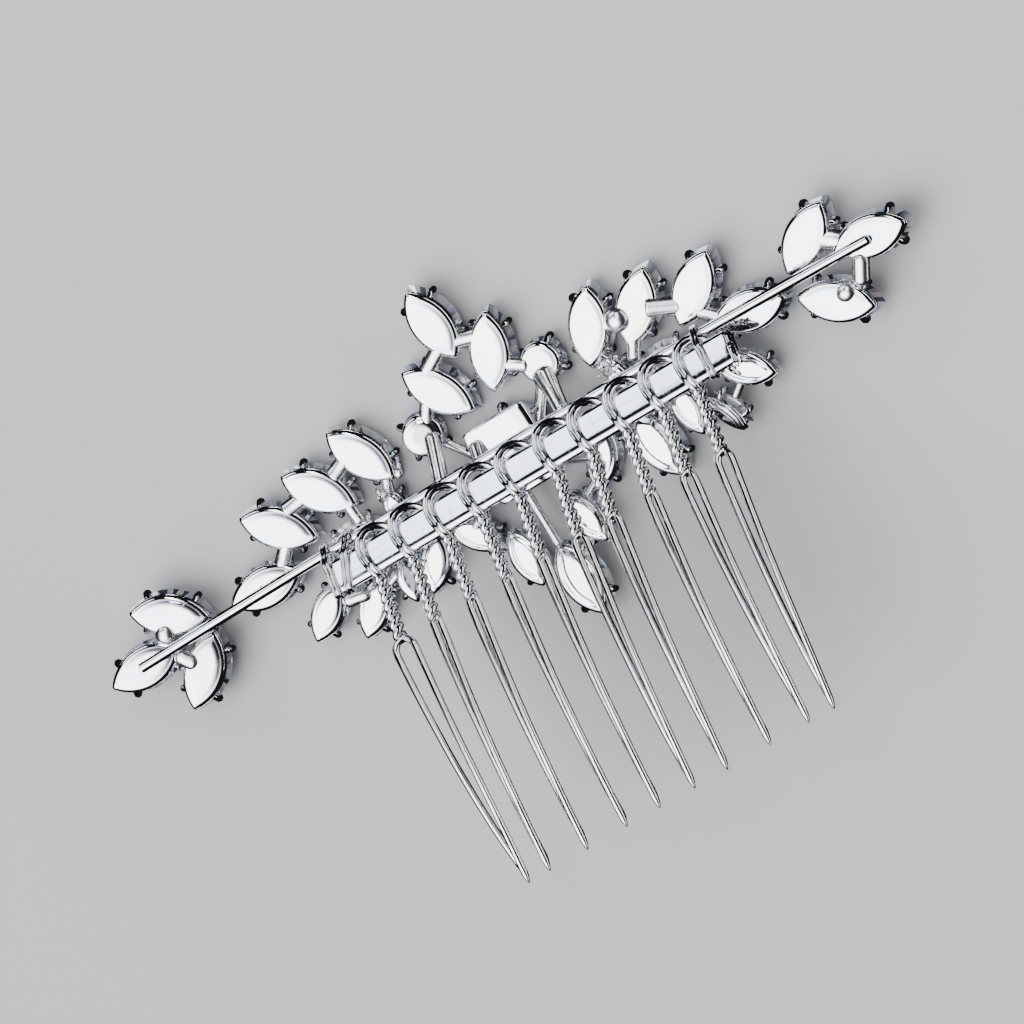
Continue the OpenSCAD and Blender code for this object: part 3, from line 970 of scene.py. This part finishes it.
@dataclass(frozen=True)
class Rod:
    """One soldered rod between two settings; sink lowers its second end."""

    start: str
    start_at: Point
    finish: str
    finish_at: Point
    radius: float
    lie: Lie = Lie.FLUSH
    rise: float = 0.0
    end: float = 0.45
    flare: float = 1.0
    sink: float = 0.0
    flat: float = 0.68
    proud: float = 0.04

    def ends(self) -> tuple[Vector, Vector]:
        """Where the rod runs.

        Returns:
            The middles of its two ends.
        """
        rise = self.rise if self.lie is Lie.OVER else self.rise + self.proud - self.radius * self.flat
        start = BY_NAME[self.start].on_back(self.start_at, rise)
        finish = BY_NAME[self.finish].on_back(self.finish_at, rise)
        if self.lie is Lie.LEVEL:
            finish.z = start.z
            start.z -= self.radius * self.flat * (self.flare - 1)
        finish.z -= self.sink
        return start, finish


RODS = [
    Rod("crest_left", (-4.6, 11.8), "crest", (-0.2, 14.3), 1.15),
    Rod("crest", (0.9, 13.8), "crest_right", (4.8, 12.7), 1.15),
    Rod("crest_left", (-5, 10.2), "round_left", (-7.4, 6.8), 1.05),
    Rod("crest_right", (4.7, 8.5), "round_right", (7.6, 6.7), 1.0, Lie.LEVEL, end=0.8),
    Rod("round_left", (-7.6, 4.8), "centre", (-4.2, 0.6), 0.6, rise=-1.9),
    Rod("round_right", (7.6, 4.6), "centre", (4.4, 0.2), 0.9, rise=-1.8),
    Rod("wing_2_left", (-21, 7), "wing_1_left", (-17.2, 8.7), 1.25),
    Rod("wing_3_left", (-28.2, 6.4), "wing_2_left", (-24.4, 7), 1.25),
    Rod("wing_3_left", (-29.2, 3.9), "wing_4_left", (-32, 0.9), 1.15),
    Rod("wing_1_right", (17.6, 6.4), "wing_2_right", (21.4, 5.6), 1.1),
    Rod("wing_2_right", (23.6, 5.6), "wing_3_right", (27.6, 3.7), 1.15, Lie.OVER, 0.15, 0.3, sink=0.9),
    Rod("wing_3_right", (28, 3.2), "wing_4_right", (31, -0.2), 1.0),
    Rod("end_1_left", (-47.8, 2.5), "end_2_left", (-49, 0.1), 1.25, Lie.OVER, -0.45, 0.9),
    Rod("end_2_left", (-48.6, -1.3), "end_3_left", (-46.8, -4), 1.1, Lie.OVER, -0.4, 0.8),
    Rod("end_1_right", (46.4, 2.4), "end_2_right", (49.8, -0.4), 1.5),
    Rod("end_2_right", (50, -1.6), "end_3_right", (47.9, -5.1), 1.05, Lie.OVER, -0.4, 0.8),
    Rod("end_3_right", (45.9, -3.5), "end_3_right", (46.1, -6.1), 1.45, Lie.OVER, -0.5, 0.95),
    Rod("wing_1_left", (-14.8, 4.8), "middle_1_left", (-16.1, 1.6), 0.8),
    Rod("wing_1_right", (14.8, 4.4), "middle_1_right", (16.1, 1.5), 0.8),
    Rod("wing_2_left", (-20.9, 4.4), "middle_2_left", (-20.6, 0.7), 0.8, Lie.LEVEL, flare=1.5),
    Rod("wing_2_right", (21.2, 5), "middle_2_right", (18.9, 0.8), 0.85, Lie.LEVEL, end=0.8, flare=1.8),
    Rod("middle_2_left", (-24.6, -0.2), "lower_1_left", (-28.4, -5.2), 0.8),
    Rod("middle_2_right", (24.6, -0.2), "lower_1_right", (28.6, -5.4), 0.8),
    Rod("lower_1_left", (-27.5, -6.3), "lower_2_left", (-23.9, -7), 0.85, Lie.OVER, -0.1, 0.95),
    Rod("lower_1_right", (29.2, -7.2), "lower_1_right", (26.6, -9.2), 0.6, rise=-1.1),
    Rod("lower_2_left", (-23.4, -7.9), "lower_3_left", (-20, -6.6), 0.7),
    Rod("lower_3_right", (26.2, -9.6), "lower_3_right", (22.6, -7.8), 0.5, rise=-0.9),
    Rod("middle_2_left", (-21, -0.6), "lower_3_left", (-19.8, -5.4), 0.7),
    Rod("middle_2_right", (22, -0.6), "lower_3_right", (21.8, -5), 0.7),
    Rod("middle_1_left", (-16.2, -1.4), "lower_4_left", (-15, -6.6), 0.7),
    Rod("middle_1_right", (16.2, -1.5), "lower_4_right", (15.5, -6.4), 0.7),
    Rod("lower_5_left", (-9.2, -6.8), "centre", (-4, -4), 0.75),
    Rod("lower_5_right", (9, -6.8), "centre", (4, -4), 0.75),
    Rod("lower_5_left", (-7.9, -9.2), "drop_left", (-5.2, -11.6), 0.6, rise=-0.2),
    Rod("lower_5_right", (7.4, -9), "drop_right", (3.9, -10.9), 0.65, rise=-0.2),
    Rod("centre", (-0.8, -5.2), "drop", (-0.4, -15), 0.6, rise=-0.6),
    Rod("drop_left", (-4.4, -14.4), "drop", (-1.4, -17), 0.5, rise=-0.6),
    Rod("drop_right", (3.8, -14), "drop", (1.4, -16.8), 0.5, rise=-0.6),
]


@dataclass(frozen=True)
class Post:
    """One post that carries the spine wire."""

    on: str
    at: Point
    wire_x: float
    radius: float
    flare: float = 1.15
    sink: float = 0.3


POSTS = [
    Post("round_left", (-7.2, 5.9), -8.6, 0.98),
    Post("round_right", (8.4, 5.6), 9.1, 0.95, 1.7, 0.75),
    Post("centre", (-2.9, 2.3), -3, 0.8, 1.0, -0.1),
    Post("wing_4_left", (-35, 0), -35, 0.55),
    Post("wing_4_right", (34.6, -0.2), 34.6, 0.55),
    Post("middle_1_left", (-16.2, 0), -16.2, 0.6),
    Post("middle_1_right", (16.2, 0), 16.2, 0.6),
]


@dataclass
class Links:
    """The rods, the posts and the spine wire, with their solder.

    The spine wire is spine_l long, and spine_more longer at its left end. Its ends hang down by spine_drop.
    """

    segments: int = 40
    rings: int = 28
    flush_waist: float = 0.88
    spine_d: float = 1.3
    spine_l: float = 104
    spine_more: float = 1.1
    spine_drop: float = 0.7
    spine_steps: int = 90
    spine_tip: float = 0.55
    spine_tip_at: float = 0.25
    beads: tuple[tuple[str, Point, float, float], ...] = (
        ("wing_2_right", (19.9, 6.05), 0.05, 1.5),
        ("wing_1_left", (-13.5, 3.6), -0.5, 0.6),
        ("wing_1_right", (15.2, 2.2), -0.6, 0.5),
    )
    bead_share: float = 0.62
    post_end: float = 0.95
    post_waist: float = 0.97
    post_back: float = 0.35
    clumps: tuple[tuple[str, str, Point, float], ...] = (
        ("solder_left", "wing_1_left", (-16.3, 2.1), 1.35),
        ("solder_right", "wing_1_right", (15.7, 1.8), 1.3),
    )
    clump_sink: float = 0.6
    grains: int = 60
    grain_r: Point = (0.18, 0.36)
    grain_spread: Point3 = (0.42, 0.42, 0.25)

    def round_bar(
        self,
        start: Vector,
        finish: Vector,
        radius: float,
        end: float = 0.45,
        waist: float = 0.95,
        taper: float = 1.0,
        flat: float = 1.0,
    ) -> Shape:
        """A short bar with rounded ends.

        Args:
            start: Middle of its first end.
            finish: Middle of its second end.
            radius: Its radius at the second end.
            end: Rounding of its ends as a share of the radius.
            waist: Thickness of its middle as a share of its ends'.
            taper: How much thicker its first end is than its second.
            flat: Its height as a share of its width.

        Returns:
            The bar.
        """
        bm = bmesh.new()
        along = finish - start
        length, curl = along.length, radius * end
        # The section lies closer together towards both ends, where it curls in
        row = [bm.verts.new((0, 0, -length / 2))]
        for step in range(self.rings + 1):
            z = -math.cos(math.pi * step / self.rings) * length / 2
            down = 0.5 - z / length
            near = min(length / 2 - abs(z), curl)
            share = 1 - (1 - waist) * math.sin(math.pi * down)
            share *= (1 + (taper - 1) * down**2) * max(math.sqrt(1 - (1 - near / curl) ** 2), 0.1)
            row.append(bm.verts.new((radius * share, 0, z)))
        row.append(bm.verts.new((0, 0, length / 2)))
        for low, high in zip(row, row[1:]):
            bm.edges.new((low, high))
        bmesh.ops.spin(
            bm,
            geom=bm.verts[:] + bm.edges[:],
            axis=(0, 0, 1),
            cent=(0, 0, 0),
            angle=math.tau,
            steps=self.segments,
            use_merge=True,
        )
        bmesh.ops.remove_doubles(bm, verts=bm.verts, dist=1e-4)
        bmesh.ops.scale(bm, vec=(1, flat, 1), verts=bm.verts)
        turn = along.to_track_quat("Z", "Y").to_matrix().to_4x4()
        bmesh.ops.transform(bm, matrix=Matrix.Translation((start + finish) / 2) @ turn, verts=bm.verts)
        return bm

    def build_rods(self) -> None:
        """Makes the rods of the left and the right half."""
        for side, sign in (("left", -1), ("right", 1)):
            bench = Bench(f"rods_{side}", Finish.ROD)
            for rod in RODS:
                if (rod.start_at[0] + rod.finish_at[0]) * sign < 0:
                    continue
                waist = 1.0 if rod.lie is Lie.OVER else self.flush_waist
                bench.add(self.round_bar(*rod.ends(), rod.radius, rod.end, waist, rod.flare, rod.flat))
            for on, at, rise, radius in self.beads:
                if at[0] * sign > 0:
                    bead = bmesh.new()
                    bmesh.ops.create_uvsphere(bead, u_segments=32, v_segments=20, radius=radius)
                    bmesh.ops.scale(bead, vec=(1, 1, self.bead_share), verts=bead.verts)
                    bench.add(bead, Matrix.Translation(BY_NAME[on].on_back(at, rise)))
            bench.hand_over("spray_frame")

    def build_solder(self) -> None:
        """Makes the sparkling clumps of solder grains."""
        for name, setting, at, reach in self.clumps:
            dice = random.Random(name)
            bench = Bench(name, Finish.SOLDER)
            middle = BY_NAME[setting].on_back(at, -self.clump_sink)
            for _ in range(self.grains):
                grain = bmesh.new()
                bmesh.ops.create_icosphere(grain, subdivisions=1, radius=dice.uniform(*self.grain_r))
                angle = dice.uniform(0, math.tau)
                turn = Matrix.Rotation(angle, 4, Vector((dice.random(), dice.random(), 1)))
                spot = Vector([dice.gauss(0, spread) for spread in self.grain_spread]) * reach
                bench.add(grain, Matrix.Translation(middle + spot) @ turn)
            bench.hand_over("spray_frame", flat=True)

    def build_posts(self) -> None:
        """Makes the posts that carry the spine wire."""
        bench = Bench("posts", Finish.ROD)
        for post in POSTS:
            foot = BY_NAME[post.on].on_back(post.at, -post.radius * post.sink)
            y, z = -SPRAY.foot_y - self.post_back, SPRAY.spine_z - SPRAY.solder_sink * 2
            head = Vector((post.wire_x, y, z))
            bench.add(self.round_bar(foot, head, post.radius, self.post_end, self.post_waist, post.flare))
        bench.hand_over("spray_frame")

    def build_spine(self) -> None:
        """Makes the spine wire, whose ends hang down a little towards the teeth."""
        radius = (self.spine_l**2 / 4 + self.spine_drop**2) / (2 * self.spine_drop)
        half = math.asin(self.spine_l / 2 / radius)
        steps, points = self.spine_steps, []
        for step in range(steps + 1):
            angle = -half + 2 * half * step / steps - self.spine_more / radius * (1 - step / steps)
            y = -SPRAY.foot_y - radius + radius * math.cos(angle)
            points.append(Vector((radius * math.sin(angle), y, SPRAY.spine_z)))
        shares = [self.spine_tip, *[1.0] * (steps - 1), self.spine_tip]
        for end, inner in ((0, 1), (-1, -2)):
            points[inner] = points[end].lerp(points[inner], self.spine_tip_at)
        bench = Bench("spine_wire", Finish.WIRE)
        bench.add(WireBender.wire(points, self.spine_d / 2, shares, roundness=5))
        bench.hand_over("spray_frame")

    def build(self) -> None:
        """Makes the rods, the posts, the spine wire and the rough solder."""
        self.build_rods()
        self.build_posts()
        self.build_spine()
        self.build_solder()


# The comb


@dataclass(frozen=True)
class ToothPlace:
    """One tooth's place and how it departs from straight.

    Its tip is shifted along the bar, its two tines are spread, its second tine is shorter, and the top of its
    twist leans along the bar.
    """

    x: float
    tip_shift: float
    spread: float
    shorter: float
    lean: float


@dataclass
class WireComb:
    """The bar, its looped and twisted wire teeth and the bindings.

    Routes count from the middle of the bar: x along it, y across it and z out of its face. Each of tine_rows
    gives a place down the tine, how far its two strands lie side by side, how much of the tooth's spread they
    have there, and their thickness.
    """

    bar_size: Point3 = (57.4, 4.3, 1.1)
    bar_shift: Point = (3.1, -0.22)
    bar_edge: float = 0.43
    bar_stretch: float = 1.8
    bar_round: int = 7
    bar_steps: tuple[Point, ...] = ((0.15, 0.0145), (0.03, 0.001), (0.3, 0.002))
    bar_y: float = -3
    bar_z: float = SPRAY.spine_z + 2.5
    comb_roll: float = 25
    wire_r: float = 0.44
    strand_r: float = 0.46
    twist_l: float = 8.3
    twist_top: float = 2.9
    twist_turns: float = 3.4
    twist_steps: int = 60
    tine_l: float = 32.9
    root_slope: float = 26
    tip_slope: float = 4
    binding_r: float = 0.25
    binding_steps: int = 5
    tangle_at: Point3 = (31.3, -0.3, -0.2)
    tangle_reach: Point3 = (0.9, 2.5, 0.7)
    tangle_r: float = 0.16
    tangle_seed: int = 4
    tangle_steps: int = 6
    tangle_knots: int = 34
    tangle_step: float = 2.2
    tangle_swing: float = 0.31
    tangle_stray: Point = (0.7, 1.1)
    teeth: tuple[ToothPlace, ...] = (
        ToothPlace(-20.4, 0.85, 0.8, 1.2, 0.9),
        ToothPlace(-14.95, -1.6, 0.02, 0.6, 0.2),
        ToothPlace(-9.75, -1.45, 0.08, 0.9, 0.1),
        ToothPlace(-4.85, -0.75, 0, 0.5, 0.1),
        ToothPlace(0.25, -1.2, 0, 0.8, 0.3),
        ToothPlace(5.5, -1.55, 0.3, 0.4, 0.5),
        ToothPlace(10.35, -1.8, 0.25, 0.9, 0.6),
        ToothPlace(15.6, -1, 0.08, 0.6, 0.5),
        ToothPlace(20.6, -0.6, 0.3, 1, 0.5),
        ToothPlace(26, -2.55, 0.45, 0.7, 0),
    )
    loop_route: tuple[Point3, ...] = (
        (0.5, -2.6, 0.7),
        (0.1, -1.6, 0.92),
        (-0.25, -0.2, 0.96),
        (-0.22, 1.2, 0.97),
        (0.3, 2.4, 0.9),
        (1.2, 3.2, 0.5),
        (2.3, 3.45, -0.1),
        (3.4, 3.0, -0.7),
        (4.0, 1.9, -1.05),
        (3.6, 0.5, -1.1),
        (2.5, -0.8, -1.12),
        (1.4, -1.9, -1.1),
        (1.15, -2.62, -0.5),
        (1.0, -2.62, 0.3),
        (0.7, -1.6, 0.92),
        (0.38, -0.2, 0.96),
        (0.42, 1.1, 0.97),
        (0.9, 2.1, 0.8),
        (1.7, 2.75, 0.3),
        (2.6, 2.8, -0.3),
        (3.4, 2.2, -0.85),
        (3.5, 1.1, -1.15),
        (2.7, -0.1, -1.2),
        (1.7, -1.3, -1.2),
        (0.85, -2.2, -1.1),
    )
    loop_share: float = 0.72
    loop_steps: int = 5
    loop_back: float = 0.85
    tine_steps: int = 5
    tine_rows: tuple[tuple[float, float, float, float], ...] = (
        (0.012, 1, 0.5, 1),
        (0.035, 1, 1, 1),
        (0.1, 1, 1, 1),
        (0.2, 0.95, 1, 1),
        (0.36, 0.8, 0.95, 1),
        (0.55, 0.64, 0.85, 1),
        (0.78, 0.45, 0.55, 1),
        (0.94, 0.25, 0.15, 1),
        (0.968, 0.2, 0.08, 0.92),
        (0.985, 0.16, 0.04, 0.62),
        (1, 0.1, 0, 0.2),
    )
    binding_route: tuple[Point, ...] = (
        (-2.6, 0),
        (-2.2, 0.8),
        (0, 0.88),
        (1.75, 0.9),
        (3.1, 0.2),
        (4.1, -0.15),
        (4.65, -0.95),
        (4.2, -1.9),
        (3.2, -2),
        (1.75, -1.05),
        (0, -0.88),
        (-2.2, -0.8),
    )
    bindings: tuple[tuple[str, tuple[Point, ...]], ...] = (
        ("binding_left", ((-25.5, -25.2), (-25, -24.7), (-24, -21.8), (-23.5, -21.2), (-22, -22))),
        ("binding_right", ((28.2, 27.9), (28.7, 28.3), (29.4, 29.4))),
    )

    @property
    def tooth_l(self) -> float:
        """Length of a tooth below the bar."""
        return self.twist_l + self.tine_l

    @property
    def place(self) -> Matrix:
        """Matrix from the bar's frame to the comb's."""
        return Matrix.Translation((0, self.bar_y - SPRAY.foot_y, self.bar_z)) @ Matrix.Rotation(
            math.radians(-self.comb_roll), 4, "X"
        )

    def build_bar(self) -> None:
        """Makes the flat bar with softened edges and a faintly crowned face."""
        bm = bmesh.new()
        bmesh.ops.create_cube(bm, size=1)
        length, width, thick = self.bar_size
        bmesh.ops.scale(bm, vec=(length, width / self.bar_stretch, thick), verts=bm.verts)
        bmesh.ops.bevel(
            bm,
            geom=bm.edges[:],
            offset=self.bar_edge,
            segments=self.bar_round,
            profile=0.5,
            affect="EDGES",
            material=-1,
        )
        bmesh.ops.scale(bm, vec=(1, self.bar_stretch, 1), verts=bm.verts)
        broad = [face for face in bm.faces if face.calc_area() > 10 and abs(face.normal.z) > 0.9]
        for inset, height in self.bar_steps:
            for face in broad:
                bmesh.ops.inset_region(bm, faces=[face], thickness=inset, use_even_offset=True)
                bmesh.ops.translate(bm, vec=face.normal * height, verts=face.verts)
        bench = Bench("bar", Finish.BAR)
        bench.add(bm, self.place @ Matrix.Translation((*self.bar_shift, 0)))
        bench.hand_over("comb_bar")

    def tooth_point(self, down: float, x: float, z: float) -> Vector:
        """A point of a tooth in the bar's frame.

        Args:
            down: How far below the bar it lies, along the tooth.
            x: Offset along the bar.
            z: Offset out of the tooth's curve.

        Returns:
            The point.
        """
        bend = self.tooth_l / math.radians(self.root_slope - self.tip_slope)
        first = math.radians(self.root_slope - self.comb_roll)
        share = min(max(down, 0) / self.tooth_l, 1)
        slope = self.root_slope - (self.root_slope - self.tip_slope) * share
        angle = math.radians(slope - self.comb_roll)
        return Vector(
            (
                x,
                bend * (math.sin(angle) - math.sin(first)) - self.twist_top + z * math.sin(angle),
                bend * (math.cos(angle) - math.cos(first)) + z * math.cos(angle),
            )
        )

    def strand(self, tooth: ToothPlace, phase: float, shorter: float) -> list[tuple[Vector, float]]:
        """One strand from the top of its twist to its tip.

        Args:
            tooth: The tooth.
            phase: 0 for the strand that starts in front, 180 for the one behind.
            shorter: How much shorter its tine is.

        Returns:
            Points with the thickness share at each.
        """
        steps, rows = self.twist_steps, []
        for step in range(steps + 1):
            down = self.twist_l * step / steps
            angle = math.radians(phase - 360 * self.twist_turns * step / steps)
            drift = tooth.tip_shift * down / self.tooth_l + tooth.lean * (1 - step / steps)
            x = self.strand_r * math.sin(angle) + drift
            rows.append((self.tooth_point(down, x, self.strand_r * math.cos(angle)), 1.0))
        side = 1 if phase == 0 else -1
        start = (0, 1, 0, 1)
        for share, apart, spread, thick in WireBender.smooth([start, *self.tine_rows], self.tine_steps)[1:]:
            down = self.twist_l + (self.tine_l - shorter) * share
            behind = side * self.strand_r * math.sqrt(max(1 - apart**2, 0)) * min(share / 0.1, 1)
            across = side * (self.strand_r * apart + tooth.spread * spread)
            x = across + tooth.tip_shift * down / self.tooth_l
            rows.append((self.tooth_point(down, x, behind), thick))
        return rows

    def build_tooth(self, number: int, tooth: ToothPlace) -> None:
        """Makes one tooth of one wire.

        Args:
            number: Its number, from 1.
            tooth: Its place.
        """
        up = self.strand(tooth, 0, 0)[::-1]
        down = self.strand(tooth, 180, tooth.shorter)
        shift = Vector((tooth.lean - self.loop_back, 0, 0))
        knots = [up[-1][0], *[Vector(point) + shift for point in self.loop_route], down[0][0]]
        loop = [(point, self.loop_share) for point in WireBender.smooth(knots, self.loop_steps)[1:-1]]
        rows = up + loop + down
        bench = Bench(f"comb_tooth_{number:02d}", Finish.WIRE)
        bench.add(
            WireBender.wire([row[0] for row in rows], self.wire_r, [row[1] for row in rows]),
            self.place @ Matrix.Translation((tooth.x, 0, 0)),
        )
        bench.hand_over(f"tooth_{number:02d}")

    def build_bindings(self) -> None:
        """Makes the turns of thin wire that tie the bar to the spine wire."""
        low, high = self.binding_route[0][0], max(y for y, _ in self.binding_route)
        for name, turns in self.bindings:
            knots = []
            for (foot, top), (after, _) in zip(turns, turns[1:]):
                for place, (y, z) in enumerate(self.binding_route):
                    bottom = foot if place < len(self.binding_route) / 2 else after
                    knots.append((bottom + (top - bottom) * (y - low) / (high - low), y, z))
            points = WireBender.smooth(knots, self.binding_steps)
            bench = Bench(f"wire_{name}", Finish.WIRE)
            bench.add(WireBender.wire(points, self.binding_r), self.place)
            bench.hand_over(name)

    def build_tangle(self) -> None:
        """Makes the loose coil of thin wire at the bar's right end."""
        dice = random.Random(self.tangle_seed)
        middle, reach = Vector(self.tangle_at), Vector(self.tangle_reach)
        knots = []
        for step in range(self.tangle_knots):
            angle = step * self.tangle_step
            swing = Vector((math.cos(angle * self.tangle_swing), math.sin(angle), math.cos(angle)))
            spot = [a * b * dice.uniform(*self.tangle_stray) for a, b in zip(swing, reach)]
            knots.append(middle + Vector(spot))
        bench = Bench("wire_tangle", Finish.WIRE)
        points = WireBender.smooth(knots, self.tangle_steps)
        bench.add(WireBender.wire(points, self.tangle_r, roundness=1), self.place)
        bench.hand_over("binding_right")

    def build(self) -> None:
        """Makes the bar, the teeth and the bindings."""
        self.build_bar()
        for number, tooth in enumerate(self.teeth, 1):
            self.build_tooth(number, tooth)
        self.build_bindings()
        self.build_tangle()


# Floor, light and camera


@dataclass(frozen=True)
class SoftBox:
    """One soft light that faces the comb; its place and size are in metres."""

    name: str
    at: Point3
    size: Point
    watts: float
    tint: Point3 = (1, 1, 1)
    mirrored: bool = True

    def build(self) -> None:
        """Adds the light, turned towards the origin."""
        data = bpy.data.lights.new(self.name, "AREA")
        data.shape = "RECTANGLE"
        data.size, data.size_y = self.size
        data.energy = self.watts
        data.color = self.tint
        light = bpy.data.objects.new(self.name, data)
        light.location = self.at
        light.rotation_euler = Vector(self.at).to_track_quat("Z", "Y").to_euler()
        light.visible_glossy = self.mirrored
        bpy.context.scene.collection.objects.link(light)


@dataclass
class Studio:
    """A pale floor, soft light and the camera at the photograph's angle."""

    aim: Point3 = (-2.7, 4.56, 6.84)
    toward: Point3 = (0.31, 0.03, 0.95)
    roll: float = 31.0
    lens: float = 300.0
    view_w: float = 121.0
    floor_size: float = 4.0
    glow: Point3 = (-0.469, -0.08, 0.88)
    glow_power: float = 6.5
    glow_stops: tuple[tuple[float, Colour], ...] = (
        (0.0, (0.002, 0.002, 0.0023, 1)),
        (0.45, (0.001, 0.001, 0.0012, 1)),
        (0.785, (0.002, 0.002, 0.0025, 1)),
        (0.835, (0.05, 0.052, 0.058, 1)),
        (0.88, (0.3, 0.31, 0.335, 1)),
        (0.935, (0.84, 0.86, 0.9, 1)),
        (0.98, (1.0, 1.0, 1.0, 1)),
    )
    boxes: tuple[SoftBox, ...] = (
        SoftBox("box_back", (-0.41, 1.13, 0.76), (0.75, 0.42), 4.2, (0.84, 0.92, 1.0)),
        SoftBox("box_right", (1.1, -0.05, 0.42), (2.2, 0.2), 5.5),
        SoftBox("box_line", (0.2, 0.6, 1.06), (0.18, 0.8), 3.6),
        SoftBox("fill", (0.1, -0.1, 2.0), (2.0, 2.0), 14, mirrored=False),
    )

    def build_floor(self) -> None:
        """Makes the floor just under the comb."""
        bm = bmesh.new()
        bmesh.ops.create_grid(bm, x_segments=2, y_segments=2, size=self.floor_size)
        mesh = bpy.data.meshes.new("floor")
        bm.to_mesh(mesh)
        bm.free()
        mesh.materials.append(Finish.FLOOR.material())
        floor = bpy.data.objects.new("floor", mesh)
        bpy.context.scene.collection.objects.link(floor)
        floor.visible_glossy = False

    def build_camera(self) -> None:
        """Sets the camera: the bar rises to the right in the picture."""
        back = Vector(self.toward).normalized()
        up = (Vector((0, 1, 0)) - back * back.y).normalized()
        right = up.cross(back)
        turn = math.radians(self.roll)
        camera_x = right * math.cos(turn) - up * math.sin(turn)
        camera_y = right * math.sin(turn) + up * math.cos(turn)
        data = bpy.data.cameras.new("camera")
        data.lens = self.lens
        data.sensor_width = 36
        distance = self.view_w * MM * self.lens / data.sensor_width
        data.clip_end = 20
        aim = Vector(self.aim) * MM
        rotation = Matrix((camera_x, camera_y, back)).transposed().to_4x4()
        camera = bpy.data.objects.new("camera", data)
        camera.matrix_world = Matrix.Translation(aim + back * distance) @ rotation
        bpy.context.scene.collection.objects.link(camera)
        bpy.context.scene.camera = camera

    def build_lights(self) -> None:
        """Adds the soft boxes and a world that glows on one side overhead and is dark elsewhere."""
        for box in self.boxes:
            box.build()
        world = bpy.data.worlds.new("studio")
        world.use_nodes = True
        bpy.context.scene.world = world
        bench = NodeBench(world.node_tree)
        place = bench.node("ShaderNodeTexCoord", output="Generated")
        ends = {0: place, 1: self.glow}
        near = bench.node("ShaderNodeVectorMath", {"operation": "DOT_PRODUCT"}, ends, output="Value")
        sky = bench.node("ShaderNodeValToRGB", {"stops": self.glow_stops}, {"Fac": near})
        light = bench.node("ShaderNodeBackground", {}, {"Color": sky, "Strength": self.glow_power})
        bench.node("ShaderNodeOutputWorld", {}, {"Surface": light})

    def build(self) -> None:
        """Makes the floor, the camera and the lights."""
        self.build_floor()
        self.build_camera()
        self.build_lights()


def main() -> None:
    logging.basicConfig(level=logging.INFO, format="%(name)s: %(message)s")
    Studio().build()
    StoneSettings().build()
    Links().build()
    WireComb().build()


if __name__ == "__main__":
    main()
